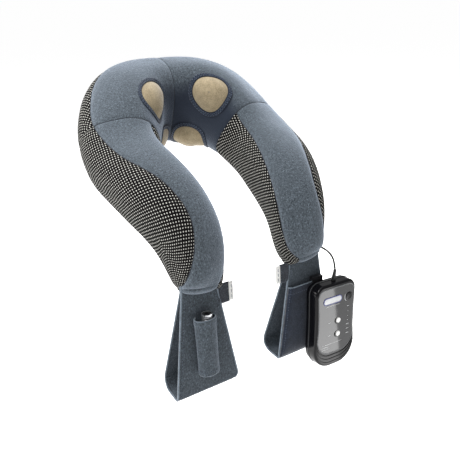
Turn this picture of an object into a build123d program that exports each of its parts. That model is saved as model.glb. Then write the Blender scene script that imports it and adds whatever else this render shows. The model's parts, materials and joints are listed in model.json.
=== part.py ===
"""Shiatsu neck massager: a padded U-shaped collar with two kneading gearboxes,
two hand straps and a wired remote.

Frame: millimetres, +Z up, the collar opens towards -Y, and X = 0 is its mirror
plane. The origin is the centre of the neck space.
"""

import os
from math import atan2, cos, pi, radians, sin, tan

from build123d import *

os.makedirs("parts", exist_ok=True)

# ---------------------------------------------------------------- collar pad
# One half of the collar's spine, from the centre of the back to the arm's end:
# centre (x, y, z), half depth, half height and how far the section leans inwards.
SPINE = [
    (0, 75, 20, 45, 63, 18),
    (46, 64, 17, 50, 64, 8),
    (78, 36, 7, 53, 59, -4),
    (100, -4, -20, 54, 51, -12),
    (104, -51, -41, 49, 47, -12),
    (95, -108, -62, 45, 47, -5),
    (84, -155, -97, 39, 41, 6),
    (80, -175, -143, 33, 29, 15),
    (81, -181, -162, 25, 17, 15),
]
SHOULDER_SEAM = 3  # the spine station where the back pad meets an arm pad
STRAP_SEAM_Z = -158.0  # the arm pads end here, and the straps are sewn on
FOAM_GAP = 0.8  # the foam's clearance round the gearbox

# ------------------------------------------------------------ kneading module
MODULE_ORIGIN = Vector(38.5, 38.7, 4.8)  # a point on the worm's axis
MODULE_YAW = 44.0  # the worm's axis, turned from X towards -Y
MODULE_DIP = 10.0  # the worm's axis, down towards the arm
GEAR_MODULE = 1.0
WHEEL_TEETH = 44
WHEEL_WIDTH = 5.0
TOOTH_AT_PITCH = 1.1  # thickness of a tooth and of the thread at the pitch line
FLANK = radians(20)
ADDENDUM, DEDENDUM = 0.7, 1.1
WORM_PITCH_R = 5.0
WORM_CORE_R = 4.0
WORM_TURNS = 4
ROTOR_R = 1.5
RUNNING_GAP = 0.05
WHEEL_PITCH_R = GEAR_MODULE * WHEEL_TEETH / 2
CENTRE_DISTANCE = WORM_PITCH_R + WHEEL_PITCH_R
DRUM_INNER_R, DRUM_OUTER_R = 23.4, 25.5
DRUM_FLOOR, DRUM_BACK, DRUM_RIM = -4.2, -7.0, 4.8  # along the wheel's axis
COVER_T = 2.5
BUSH_R, BUSH_TOP = 6.0, 11.0
HEAD_SHAFT_R, JOURNAL_R = 4.0, 2.5
TUBE_INNER_R, TUBE_OUTER_R = 6.3, 9.0
TUBE_START, TUBE_END = -36.0, 57.0  # along the worm's axis
MOTOR_R, MOTOR_LENGTH, MOTOR_WALL = 12.0, 26.0, 1.0
FLANGE_R, FLANGE_T = 12.0, 2.5
SCREW_R, SCREW_HEAD_R, SCREW_HEAD_T = 0.8, 1.6, 1.2
# Each module drives an upper and a lower head: where the wheel sits along the
# worm, how far its axis turns up from level, and the height of the pad's surface.
WHEELS = {
    "upper": {"along": 25.4, "turn": 20.0, "skin": 34.5, "sweep": 20.0, "window": 25.8},
    "lower": {"along": 2.0, "turn": -35.0, "skin": 31.4, "sweep": 18.0, "window": 23.4},
}
HEAD_BASE, HEAD_PLATE_T = 12.0, 4.0
WINDOW_T = 1.2
RING_T, RING_W = 2.5, 2.8

# --------------------------------------------------------------- hand straps
STRAP_X = 83.5
STRAP_TOP_Z, STRAP_BOTTOM_Z = -161.5, -308.0
STRAP_TOP_W, STRAP_BOTTOM_W = 49.0, 94.0
STRAP_SHIFT = 3.0  # its bottom edge sits this much nearer to the neck
STRAP_FRONT_TOP_Y, STRAP_BACK_TOP_Y = -184.5, -178.5
STRAP_FRONT_Y, STRAP_BACK_Y = -200.55, -156.0
STRAP_T = 3.0
STRAP_FRONT_R, STRAP_BACK_R = 4.5, 18.0
TAB_W, TAB_H, TAB_T = 16.0, 28.0, 2.0
LABEL_W = 6.0
SLEEVE_TOP_R, SLEEVE_FOOT_R, SLEEVE_DEPTH = 15.7, 14.5, 11.0  # its half widths and half depth
SLEEVE_T, SLEEVE_L, SLEEVE_OFF = 1.8, 77.0, 8.0
SLEEVE_X, SLEEVE_TOP = -83.5, -36.0
JACK_R, JACK_BORE_R, JACK_L = 7.0, 2.8, 44.0
JACK_INNER_R, JACK_X = 6.0, -80.0
POCKET_TOP, POCKET_BOTTOM, POCKET_GAP, POCKET_T = -39.0, -141.0, 4.2, 1.8
POCKET_SEAM = 2.5

# -------------------------------------------------------------------- remote
REMOTE_X = 111.0
REMOTE_DROP = -102.0  # the remote's centre, down the strap's front panel
REMOTE_OFF = 8.0  # its back face, in front of that panel
REMOTE_TILT = radians(2.5)  # its foot hangs nearer to the neck
REMOTE_D, REMOTE_H = 26.0, 129.0
REMOTE_TOP_W, REMOTE_WAIST_W, REMOTE_BOTTOM_W = 75.0, 72.5, 77.0
REMOTE_WALL = 2.2
REMOTE_SPLIT = 9.0  # the shells meet this far in front of the back face
TRIM_T, TRIM_W = 2.0, 2.6
FACEPLATE_T = 1.6
BUTTON_R, BUTTON_FLANGE_R, BUTTON_GAP = 3.8, 5.0, 0.3
BUTTON_TRAVEL = 0.8
BUTTON_AT = {"power_button": (4.0, 6.7), "mode_button": (4.0, -14.2)}
CORD_R = 1.35
# The lead's route, from the grommet in the right arm to the strain relief.
CORD_ROUTE = [
    (104.0, -188.0, -149.0),
    (110.5, -191.5, -153.2),
    (116.5, -196.5, -158.5),
    (119.5, -202.0, -165.0),
    (119.8, -206.5, -173.0),
    (118.6, -210.0, -181.5),
]
RELIEF_X, RELIEF_TOP_R, RELIEF_BASE_R = 3.7, 2.2, 3.4
GROMMET_R, GROMMET_L = 3.6, 8.0


# ------------------------------------------------------------------- helpers
def save(name, solid):
    """Label one finished piece and write its STEP file."""
    solid.label = name
    export_step(solid, f"parts/{name}.step")


def save_both(name, solid):
    """Write a right-hand piece and its mirror image on the left."""
    save(f"right_{name}", solid)
    save(f"left_{name}", mirror(solid, about=Plane.YZ))


def on_both_sides(spine):
    """The whole spine, from the left arm's end to the right arm's end."""
    left = [(-x, *rest) for x, *rest in reversed(spine[1:])]
    return left + list(spine)


def section_plane(spine, index):
    """The plane of one collar section: X outwards, Y up, Z along the spine."""
    here = Vector(*spine[index][:3])
    before = Vector(*spine[max(index - 1, 0)][:3])
    after = Vector(*spine[min(index + 1, len(spine) - 1)][:3])
    along = (after - before).normalized()
    outward = Vector(0, 0, 1).cross(along).normalized()
    upward = along.cross(outward)
    lean = radians(spine[index][5])
    return Plane(here, x_dir=outward * cos(lean) + upward * sin(lean), z_dir=along)


# ------------------------------------------------------------ module's frames
yaw, dip = radians(MODULE_YAW), radians(MODULE_DIP)
ALONG = Vector(cos(yaw) * cos(dip), -sin(yaw) * cos(dip), -sin(dip))
INWARD = Vector(-sin(yaw), -cos(yaw), 0)
RISE = INWARD.cross(ALONG)


def worm_plane(distance):
    """Across the worm's axis, at a distance along it."""
    return Plane(MODULE_ORIGIN + ALONG * distance, x_dir=RISE, z_dir=ALONG)


def wheel_plane(which, height=0.0):
    """Across a wheel's axis: Z towards the neck, X towards the worm."""
    wheel = WHEELS[which]
    turn = radians(wheel["turn"])
    axis = INWARD * cos(turn) + RISE * sin(turn)
    side = 1 if wheel["turn"] > 0 else -1
    reach = (RISE * cos(turn) - INWARD * sin(turn)) * side
    centre = MODULE_ORIGIN + ALONG * wheel["along"] + reach * CENTRE_DISTANCE
    return Plane(centre + axis * height, x_dir=-reach, z_dir=axis)


def disc(plane, radius, height, mode=Mode.ADD, inner=0.0):
    """A disc, or a ring, that stands on a plane."""
    with BuildSketch(plane) as profile:
        Circle(radius)
        if inner:
            Circle(inner, mode=Mode.SUBTRACT)
    extrude(profile.sketch, amount=height, mode=mode)


def screw_places(which, height):
    """Three cover screws of a drum, clear of the worm's tube."""
    plane = wheel_plane(which, height)
    radius = (DRUM_INNER_R + DRUM_OUTER_R) / 2
    for angle in (75, 180, 285):
        turn = radians(angle)
        spot = plane.from_local_coords((radius * cos(turn), radius * sin(turn), 0))
        yield Plane(spot, x_dir=plane.x_dir, z_dir=plane.z_dir)


# ---------------------------------------------------------------- gear case
def gear_case():
    """Two drums round the wheels, a tube round the worm and the motor's flange."""
    with BuildPart() as case:
        for which in WHEELS:
            disc(wheel_plane(which, DRUM_BACK), DRUM_OUTER_R, DRUM_RIM - DRUM_BACK)
        disc(worm_plane(TUBE_START), TUBE_OUTER_R, TUBE_END - TUBE_START)
        disc(worm_plane(TUBE_END), FLANGE_R, FLANGE_T)
        for which in WHEELS:
            disc(wheel_plane(which, DRUM_FLOOR), DRUM_INNER_R, 40, Mode.SUBTRACT)
            disc(wheel_plane(which, DRUM_BACK + 1), JOURNAL_R + RUNNING_GAP, 3, Mode.SUBTRACT)
            for place in screw_places(which, DRUM_FLOOR):
                disc(place, SCREW_R, 12, Mode.SUBTRACT)
        worm_bore = TUBE_END - TUBE_START + FLANGE_T
        disc(worm_plane(TUBE_START + 5), TUBE_INNER_R, worm_bore, Mode.SUBTRACT)
        disc(worm_plane(TUBE_START + 1), ROTOR_R + RUNNING_GAP, 5, Mode.SUBTRACT)
    return case.part


def drum_cover(which):
    """The drum's front cover, with a boss for the head's bush."""
    with BuildPart() as cover:
        disc(wheel_plane(which, DRUM_RIM), DRUM_OUTER_R, COVER_T)
        disc(wheel_plane(which, DRUM_RIM), BUSH_R + 3, BUSH_TOP - DRUM_RIM - 1)
        disc(wheel_plane(which, DRUM_RIM), BUSH_R, BUSH_TOP, Mode.SUBTRACT)
        for place in screw_places(which, DRUM_RIM):
            disc(place, SCREW_R, COVER_T, Mode.SUBTRACT)
        disc(worm_plane(TUBE_START), TUBE_OUTER_R + 0.2, TUBE_END - TUBE_START, Mode.SUBTRACT)
    return cover.part


def bush(which):
    """The bronze bush that carries the head's shaft."""
    with BuildPart() as sleeve:
        plane = wheel_plane(which, DRUM_RIM + 0.1)
        disc(plane, BUSH_R, BUSH_TOP - DRUM_RIM - 0.1, inner=HEAD_SHAFT_R + RUNNING_GAP)
    return sleeve.part


def cover_screws(which):
    """The drum cover's three screws."""
    with BuildPart() as screws:
        for place in screw_places(which, DRUM_RIM + COVER_T):
            disc(place, SCREW_HEAD_R, SCREW_HEAD_T)
        for place in screw_places(which, DRUM_FLOOR + 1):
            disc(place, SCREW_R, DRUM_RIM + COVER_T - DRUM_FLOOR)
    return screws.part


# ------------------------------------------------------------- wheel and worm
def tooth_half_width(above_pitch):
    """Half of a tooth's thickness at a height above the pitch line."""
    return TOOTH_AT_PITCH / 2 - above_pitch * tan(FLANK)


def worm_wheel(which):
    """A straight-toothed worm wheel with a gap facing the worm at rest."""
    tip, root = WHEEL_PITCH_R + ADDENDUM, WHEEL_PITCH_R - DEDENDUM
    at_root = tooth_half_width(-DEDENDUM) / root
    at_tip = tooth_half_width(ADDENDUM) / tip
    corners = []
    for tooth in range(WHEEL_TEETH):
        middle = 2 * pi * (tooth + 0.5) / WHEEL_TEETH
        for radius, angle in (
            (root, middle - at_root),
            (tip, middle - at_tip),
            (tip, middle + at_tip),
            (root, middle + at_root),
        ):
            corners.append((radius * cos(angle), radius * sin(angle)))
    with BuildPart() as wheel:
        with BuildSketch(wheel_plane(which, -WHEEL_WIDTH / 2)):
            Polygon(*corners, align=None)
            with PolarLocations(13.5, 5):
                Circle(4.2, mode=Mode.SUBTRACT)
        extrude(amount=WHEEL_WIDTH)
        disc(wheel_plane(which, -WHEEL_WIDTH / 2), 8.0, WHEEL_WIDTH + 1.8)
        disc(wheel_plane(which, -WHEEL_WIDTH / 2), HEAD_SHAFT_R, WHEEL_WIDTH + 1.8, Mode.SUBTRACT)
    return wheel.part


def worm_thread(which):
    """The thread opposite one wheel, with a crest in that wheel's gap at rest."""
    pitch = pi * GEAR_MODULE
    height = WORM_TURNS * pitch
    facing = -wheel_plane(which).x_dir
    start = MODULE_ORIGIN + ALONG * (WHEELS[which]["along"] - height / 2)
    climb = Vector(0, 2 * pi * WORM_PITCH_R, pitch).normalized()
    with BuildPart() as thread:
        with BuildLine():
            Helix(pitch, height, WORM_PITCH_R)
        with BuildSketch(Plane((WORM_PITCH_R, 0, 0), x_dir=(1, 0, 0), z_dir=climb)):
            low, high = WORM_CORE_R - 0.2 - WORM_PITCH_R, ADDENDUM
            wide, narrow = tooth_half_width(low), tooth_half_width(high)
            Polygon((low, -wide), (high, -narrow), (high, narrow), (low, wide), align=None)
        sweep(is_frenet=True)
    return Plane(start, x_dir=facing, z_dir=ALONG).location * thread.part


def rotor():
    """The motor's shaft with its armature and the two worms on it."""
    shaft_start = TUBE_START + 1.5
    shaft_end = TUBE_END + FLANGE_T + MOTOR_LENGTH + 1.5
    worm_length = (WORM_TURNS + 1) * pi * GEAR_MODULE
    with BuildPart() as turning:
        disc(worm_plane(shaft_start), ROTOR_R, shaft_end - shaft_start)
        for which, wheel in WHEELS.items():
            disc(worm_plane(wheel["along"] - worm_length / 2), WORM_CORE_R, worm_length)
            add(worm_thread(which))
        disc(worm_plane(TUBE_END + FLANGE_T + 6), 8.5, 13)
        disc(worm_plane(TUBE_END + FLANGE_T + 20), 4.0, 3)
    return turning.part


def motor_can():
    """The motor's steel can, open at the back."""
    with BuildPart() as can:
        disc(worm_plane(TUBE_END + FLANGE_T), MOTOR_R, MOTOR_LENGTH)
        inside = worm_plane(TUBE_END + FLANGE_T + 1.5)
        disc(inside, MOTOR_R - MOTOR_WALL, MOTOR_LENGTH, Mode.SUBTRACT)
        disc(worm_plane(TUBE_END), ROTOR_R + RUNNING_GAP, MOTOR_LENGTH, Mode.SUBTRACT)
    return can.part


def motor_end_cap():
    """The plastic cap that closes the can and holds the brushes' terminals."""
    with BuildPart() as cap:
        end = TUBE_END + FLANGE_T + MOTOR_LENGTH
        disc(worm_plane(end - 2), MOTOR_R - MOTOR_WALL, 2)
        disc(worm_plane(end), MOTOR_R, 2)
        disc(worm_plane(end - 2), ROTOR_R + RUNNING_GAP, 3.6, Mode.SUBTRACT)
        with BuildSketch(worm_plane(end + 2)):
            with Locations((6, 0), (-6, 0)):
                Rectangle(0.6, 3)
        extrude(amount=2.5)
    return cap.part


# --------------------------------------------------------------------- heads
def head_shaft(which):
    """The stepped steel shaft that joins a wheel to its massage head."""
    with BuildPart() as shaft:
        disc(wheel_plane(which, DRUM_BACK + 1.3), JOURNAL_R, 6)
        disc(wheel_plane(which, -WHEEL_WIDTH / 2), HEAD_SHAFT_R, HEAD_BASE + 3 + WHEEL_WIDTH / 2)
    return shaft.part


def massage_head(which):
    """A plate with a tall and a short kneading knob, off centre."""
    wheel = WHEELS[which]
    knob_r, small_r = wheel["sweep"] - 10.0, wheel["sweep"] - 12.5
    reach, small_reach = wheel["sweep"] - knob_r - 1.6, wheel["sweep"] - small_r - 2
    plane = wheel_plane(which, HEAD_BASE + 1)
    upwards = Axis(plane.origin, plane.z_dir)
    with BuildPart() as head:
        disc(wheel_plane(which, HEAD_BASE), wheel["sweep"], HEAD_PLATE_T)
        for radius, offset, drop in ((small_r, -small_reach, 6.0), (knob_r, reach, 0.0)):
            spot = plane.from_local_coords((offset, 0, 0))
            height = wheel["skin"] - drop - HEAD_BASE - 1
            disc(Plane(spot, x_dir=plane.x_dir, z_dir=plane.z_dir), radius, height)
            fillet(head.edges().sort_by(upwards)[-1], radius - 1)
        disc(wheel_plane(which, HEAD_BASE - 1), HEAD_SHAFT_R, 4, Mode.SUBTRACT)
    return head.part


def window_fabric(which):
    """The domed stretch fabric over one head."""
    wheel = WHEELS[which]
    rim = wheel["window"]
    rise = 14.5
    ball = (rim**2 + rise**2) / (2 * rise)
    base = wheel_plane(which, wheel["skin"] - 9)
    centre = base.from_local_coords((0, 0, rise - ball))
    with BuildPart() as dome:
        with Locations(centre):
            Sphere(ball)
            Sphere(ball - WINDOW_T, mode=Mode.SUBTRACT)
        split(bisect_by=base, keep=Keep.TOP)
    return dome.part


def window_ring(which):
    """The ring that holds the window's edge in the pad."""
    wheel = WHEELS[which]
    with BuildPart() as ring:
        base = wheel_plane(which, wheel["skin"] - 9 - RING_T)
        disc(base, wheel["window"] + RING_W, RING_T, inner=wheel["window"] - 1.4)
    return ring.part


# ---------------------------------------------------------------- foam pads
def grommet_plane():
    """Across the lead where it leaves the right arm, looking outwards."""
    first, second = Vector(*CORD_ROUTE[0]), Vector(*CORD_ROUTE[1])
    return Plane(first, z_dir=(second - first).normalized())


def collar_half():
    """The right half of the whole collar, solid."""
    spine = on_both_sides(SPINE)
    centre = len(SPINE) - 1
    with BuildPart() as half:
        for index in range(centre - 2, len(spine)):
            with BuildSketch(section_plane(spine, index)):
                Ellipse(spine[index][3], spine[index][4])
        loft()
        split(bisect_by=Plane.YZ, keep=Keep.TOP)
        split(bisect_by=Plane.XY.offset(STRAP_SEAM_Z), keep=Keep.TOP)
    return half.part


def carve_module(windows=True):
    """Cut the room for one kneading module out of the pad being built."""
    for which, wheel in WHEELS.items() if windows else ():
        well = max(wheel["window"] + RING_W, DRUM_OUTER_R) + FOAM_GAP
        disc(wheel_plane(which, DRUM_BACK - FOAM_GAP), DRUM_OUTER_R + FOAM_GAP, 22, Mode.SUBTRACT)
        disc(wheel_plane(which, BUSH_TOP), well - 0.5, 80, Mode.SUBTRACT)
    tube_length = TUBE_END - TUBE_START
    disc(worm_plane(TUBE_START - FOAM_GAP), TUBE_OUTER_R + FOAM_GAP, tube_length, Mode.SUBTRACT)
    motor_room = FLANGE_T + MOTOR_LENGTH + 8
    disc(worm_plane(TUBE_END - FOAM_GAP), MOTOR_R + FOAM_GAP, motor_room, Mode.SUBTRACT)


def board_plane():
    """The control board's plane, upright behind the gearboxes."""
    return Plane((0, 92, 14), x_dir=(1, 0, 0), z_dir=(0, 1, 0))


collar = collar_half()
shoulder = section_plane(SPINE, SHOULDER_SEAM)

with BuildPart() as back_half:
    add(collar)
    split(bisect_by=shoulder, keep=Keep.BOTTOM)
    carve_module()
    with BuildSketch(board_plane().offset(-3)):
        Rectangle(56, 36)
    extrude(amount=12, mode=Mode.SUBTRACT)

with BuildPart() as back_pad:
    add(back_half.part)
    mirror(back_half.part, about=Plane.YZ)

with BuildPart() as arm_pad:
    add(collar)
    split(bisect_by=shoulder, keep=Keep.TOP)
    carve_module(windows=False)

with BuildPart() as right_arm_pad:
    add(arm_pad.part)
    disc(grommet_plane().offset(-GROMMET_L), GROMMET_R, 3 * GROMMET_L, Mode.SUBTRACT)

save("back_pad", back_pad.part)
save("left_arm_pad", mirror(arm_pad.part, about=Plane.YZ))
save("right_arm_pad", right_arm_pad.part)

# ------------------------------------------------------ modules on both sides
save_both("gear_case", gear_case())
save_both("worm_rotor", rotor())
save_both("motor_can", motor_can())
save_both("motor_end_cap", motor_end_cap())
for side in WHEELS:
    save_both(f"{side}_drum_cover", drum_cover(side))
    save_both(f"{side}_worm_wheel", worm_wheel(side))
    save_both(f"{side}_head_shaft", head_shaft(side))
    save_both(f"{side}_massage_head", massage_head(side))
    save_both(f"{side}_window_fabric", window_fabric(side))
    save_both(f"{side}_window_ring", window_ring(side))

right_bushes = [bush(side) for side in WHEELS]
right_screws = [cover_screws(side) for side in WHEELS]
save("head_bushes", Compound(right_bushes + [mirror(b, about=Plane.YZ) for b in right_bushes]))
save("cover_screws", Compound(right_screws + [mirror(s, about=Plane.YZ) for s in right_screws]))

with BuildPart() as control_board:
    with BuildSketch(board_plane()):
        Rectangle(48, 30)
    extrude(amount=1.6)
    with BuildSketch(board_plane().offset(1.6)):
        with Locations((-14, 4)):
            Rectangle(9, 9)
        with Locations((4, -6)):
            Rectangle(12, 8)
        with GridLocations(5, 14, 2, 2):
            with Locations((16, 0)):
                Circle(1.8)
    extrude(amount=2.4)
save("control_board", control_board.part)

# --------------------------------------------------------------- hand straps
panel_lean = atan2(STRAP_FRONT_TOP_Y - STRAP_FRONT_Y, STRAP_TOP_Z - STRAP_BOTTOM_Z)
panel_normal = Vector(0, -cos(panel_lean), sin(panel_lean))
FORWARD = Axis((0, 0, 0), panel_normal)


def panel_plane(x, off=0.0):
    """The strap's front panel: X across, Y up from the seam, Z forwards."""
    origin = Vector(x, STRAP_FRONT_TOP_Y, STRAP_TOP_Z) + panel_normal * off
    return Plane(origin, x_dir=(1, 0, 0), z_dir=panel_normal)


def strap_width(drop):
    """The strap's width at a height below its seam."""
    share = -drop / (STRAP_TOP_Z - STRAP_BOTTOM_Z)
    return STRAP_TOP_W + (STRAP_BOTTOM_W - STRAP_TOP_W) * share


def strap_middle(drop):
    """The middle of the strap's width at a height below its seam."""
    return STRAP_X + STRAP_SHIFT * drop / (STRAP_TOP_Z - STRAP_BOTTOM_Z)


def strap_side(inset):
    """Corners of the strap's side view, from its top front corner."""
    top_drop = inset * 4.5 if inset else 0
    squeeze = 2.9 if inset else 0
    return [
        (STRAP_FRONT_TOP_Y + squeeze, STRAP_TOP_Z - top_drop),
        (STRAP_BACK_TOP_Y - squeeze, STRAP_TOP_Z - top_drop),
        (STRAP_BACK_Y - inset, STRAP_BOTTOM_Z + inset),
        (STRAP_FRONT_Y + inset, STRAP_BOTTOM_Z + inset),
    ]


with BuildPart() as strap:
    with BuildSketch(Plane.YZ.offset(STRAP_X)):
        for inset, mode in ((0.0, Mode.ADD), (STRAP_T, Mode.SUBTRACT)):
            with BuildSketch(Plane.XY, mode=Mode.PRIVATE) as outline:
                Polygon(*strap_side(inset), align=None)
                lowest = outline.vertices().sort_by(Axis.Y)[:2]
                fillet(lowest.sort_by(Axis.X)[-1], STRAP_BACK_R - inset)
                fillet(outline.vertices().sort_by(Axis.Y).sort_by(Axis.X)[0], STRAP_FRONT_R - inset)
            add(outline.sketch, mode=mode)
    extrude(amount=STRAP_BOTTOM_W, both=True)
    with BuildSketch(Plane.XZ):
        Polygon(
            (STRAP_X - STRAP_TOP_W / 2, STRAP_TOP_Z),
            (STRAP_X + STRAP_TOP_W / 2, STRAP_TOP_Z),
            (STRAP_X - STRAP_SHIFT + STRAP_BOTTOM_W / 2, STRAP_BOTTOM_Z),
            (STRAP_X - STRAP_SHIFT - STRAP_BOTTOM_W / 2, STRAP_BOTTOM_Z),
            align=None,
        )
    extrude(amount=300, both=True, mode=Mode.INTERSECT)
save_both("strap", strap.part)

# The tabs stick out of each strap's inner edge, just below the seam.
tab_middle = -TAB_H / 2 - 2
tab_edge = strap_middle(tab_middle) - strap_width(tab_middle) / 2
with BuildPart() as tab:
    with BuildSketch(panel_plane(tab_edge, -STRAP_T / 2 - TAB_T / 2)):
        with Locations((0, tab_middle)):
            top, foot = TAB_H / 2, -TAB_H / 2
            Polygon((2.5, top), (-TAB_W, top), (-TAB_W, foot), (-2, foot), align=None)
    extrude(amount=TAB_T)
    add(strap.part, mode=Mode.SUBTRACT)
with BuildPart() as tab_label:
    with BuildSketch(panel_plane(tab_edge, -STRAP_T / 2 - TAB_T / 2)):
        with Locations((-TAB_W - LABEL_W / 2, tab_middle)):
            Rectangle(LABEL_W, TAB_H - 2)
    extrude(amount=TAB_T / 2)
save_both("tab", tab.part)
save_both("tab_label", tab_label.part)


# The left strap carries the power jack in a sewn sleeve.
def sleeve_plane(height, x=SLEEVE_X, off=SLEEVE_OFF):
    """Across the sleeve, at a height on the strap's panel, looking up it."""
    panel = panel_plane(x)
    centre = panel.from_local_coords((0, height, off))
    return Plane(centre, x_dir=(1, 0, 0), z_dir=panel.y_dir)


def jack_plane(height):
    """Across the jack, which lies against the strap inside its sleeve."""
    return sleeve_plane(height, JACK_X, JACK_R + 0.1)


with BuildPart() as jack_sleeve:
    for inset, mode in ((0.0, Mode.ADD), (SLEEVE_T, Mode.SUBTRACT)):
        with BuildSketch(sleeve_plane(SLEEVE_TOP - SLEEVE_L)):
            Ellipse(SLEEVE_FOOT_R - inset, SLEEVE_DEPTH - inset)
        with BuildSketch(sleeve_plane(SLEEVE_TOP)):
            Ellipse(SLEEVE_TOP_R - inset, SLEEVE_DEPTH - inset)
        loft(mode=mode)
    split(bisect_by=panel_plane(SLEEVE_X, 0.05), keep=Keep.TOP)
save("jack_sleeve", jack_sleeve.part)

jack_top = SLEEVE_TOP + 5.0
with BuildPart() as jack_shell:
    disc(jack_plane(jack_top - JACK_L), JACK_R, JACK_L, inner=JACK_INNER_R)
    for groove in range(5):
        disc(jack_plane(jack_top - 4 - 2.4 * groove), JACK_R + 1, 0.9, Mode.SUBTRACT, inner=JACK_R - 0.4)
with BuildPart() as jack_socket:
    disc(jack_plane(jack_top - JACK_L), JACK_INNER_R, JACK_L - 0.6)
    disc(jack_plane(jack_top - 13), JACK_BORE_R, 20, Mode.SUBTRACT)
save("power_jack_shell", jack_shell.part)
save("power_jack_socket", jack_socket.part)

# The right strap has a pocket that the remote's clip slides into.
with BuildPart() as strap_pocket:
    for seam, height, mode in (
        (0.0, POCKET_GAP + POCKET_T, Mode.ADD),
        (POCKET_SEAM, POCKET_GAP, Mode.SUBTRACT),
    ):
        top_half = strap_width(POCKET_TOP) / 2 - 0.5 - seam
        low_half = strap_width(POCKET_BOTTOM) / 2 - 0.5 - seam
        top_middle, low_middle = strap_middle(POCKET_TOP), strap_middle(POCKET_BOTTOM)
        with BuildSketch(panel_plane(0, 0.05)):
            Polygon(
                (top_middle - top_half, POCKET_TOP),
                (top_middle + top_half, POCKET_TOP),
                (low_middle + low_half, POCKET_BOTTOM + seam),
                (low_middle - low_half, POCKET_BOTTOM + seam),
                align=None,
            )
        extrude(amount=height, mode=mode)
save("strap_pocket", strap_pocket.part)


# -------------------------------------------------------------------- remote
def remote_plane(depth=0.0):
    """The remote's back face, or a plane that far in front of it."""
    panel = panel_plane(REMOTE_X)
    origin = panel.from_local_coords((0, REMOTE_DROP, REMOTE_OFF + depth))
    across = panel.x_dir * cos(REMOTE_TILT) - panel.y_dir * sin(REMOTE_TILT)
    return Plane(origin, x_dir=across, z_dir=panel_normal)


def remote_outline(inset=0.0):
    """The remote's waisted outline, drawn into the current sketch."""
    top, waist, foot = (w / 2 - inset for w in (REMOTE_TOP_W, REMOTE_WAIST_W, REMOTE_BOTTOM_W))
    half = REMOTE_H / 2 - inset
    right_side = [(top, half), (waist, 2), (foot, -half)]
    left_side = [(-x, y) for x, y in reversed(right_side)]
    with BuildSketch(Plane.XY, mode=Mode.PRIVATE) as outline:
        Polygon(*right_side, *left_side, align=None)
        corners = outline.vertices().sort_by(Axis.Y)
        fillet(corners[2:4], 800)
        corners = outline.vertices().sort_by(Axis.Y)
        fillet(corners[-2:], 15 - inset)
        corners = outline.vertices().sort_by(Axis.Y)
        fillet(corners[:2], 30 - inset)
    add(outline.sketch)


def faceplate_outline(grow=0.0):
    """The front panel's outline, which leaves the ridged foot bare."""
    right_side = [(33, 58), (31.5, 4), (33.2, -42)]
    left_side = [(-x, y) for x, y in reversed(right_side)]
    with BuildSketch(Plane.XY, mode=Mode.PRIVATE) as outline:
        Polygon(*right_side, *left_side, align=None)
        corners = outline.vertices().sort_by(Axis.Y)
        fillet(corners[2:4], 500)
        corners = outline.vertices().sort_by(Axis.Y)
        fillet(corners[-2:], 11)
        corners = outline.vertices().sort_by(Axis.Y)
        fillet(corners[:2], 24)
        if grow:
            offset(amount=grow)
    add(outline.sketch)


face_depth = REMOTE_D - 1.0
with BuildPart() as remote_rear_shell:
    with BuildSketch(remote_plane()):
        remote_outline(1.0)
    extrude(amount=REMOTE_SPLIT)
    fillet(remote_rear_shell.faces().sort_by(FORWARD)[0].edges(), 5.0)
    with BuildSketch(remote_plane(REMOTE_WALL)):
        remote_outline(1.0 + REMOTE_WALL)
    extrude(amount=REMOTE_D, mode=Mode.SUBTRACT)
save("remote_rear_shell", remote_rear_shell.part)

with BuildPart() as remote_trim:
    with BuildSketch(remote_plane(REMOTE_SPLIT)):
        remote_outline()
    extrude(amount=TRIM_T)
    with BuildSketch(remote_plane(REMOTE_SPLIT)):
        remote_outline(1.0 + TRIM_W)
    extrude(amount=TRIM_T, mode=Mode.SUBTRACT)
save("remote_trim", remote_trim.part)

with BuildPart() as remote_front_shell:
    with BuildSketch(remote_plane(REMOTE_SPLIT + TRIM_T)):
        remote_outline(0.6)
    extrude(amount=face_depth - REMOTE_SPLIT - TRIM_T)
    fillet(remote_front_shell.faces().sort_by(FORWARD)[-1].edges(), 3.5)
    with BuildSketch(remote_plane(REMOTE_SPLIT + TRIM_T)):
        remote_outline(0.6 + REMOTE_WALL)
    extrude(amount=face_depth - REMOTE_SPLIT - TRIM_T - 3.4, mode=Mode.SUBTRACT)
    with BuildSketch(remote_plane(face_depth - 1.2)):
        faceplate_outline(0.1)
    extrude(amount=3, mode=Mode.SUBTRACT)
    with BuildSketch(remote_plane(REMOTE_SPLIT + TRIM_T)):
        with Locations(*BUTTON_AT.values()):
            Circle(BUTTON_FLANGE_R + BUTTON_GAP)
    extrude(amount=REMOTE_D, mode=Mode.SUBTRACT)
save("remote_front_shell", remote_front_shell.part)

with BuildPart() as remote_faceplate:
    with BuildSketch(remote_plane(face_depth - 1.2)):
        faceplate_outline()
        with Locations(*BUTTON_AT.values()):
            Circle(BUTTON_R + BUTTON_GAP, mode=Mode.SUBTRACT)
    extrude(amount=FACEPLATE_T)
save("remote_faceplate", remote_faceplate.part)

board_depth = REMOTE_SPLIT + 1.0
switch_top = face_depth - 1.2 - 1.2 - 4.0
with BuildPart() as remote_board:
    with BuildSketch(remote_plane(board_depth)):
        RectangleRounded(46, 96, 3)
    extrude(amount=1.6)
    with BuildSketch(remote_plane(board_depth + 1.6)):
        with Locations(*BUTTON_AT.values()):
            Rectangle(6, 6)
    extrude(amount=switch_top - board_depth - 1.6)
save("remote_board", remote_board.part)

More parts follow.
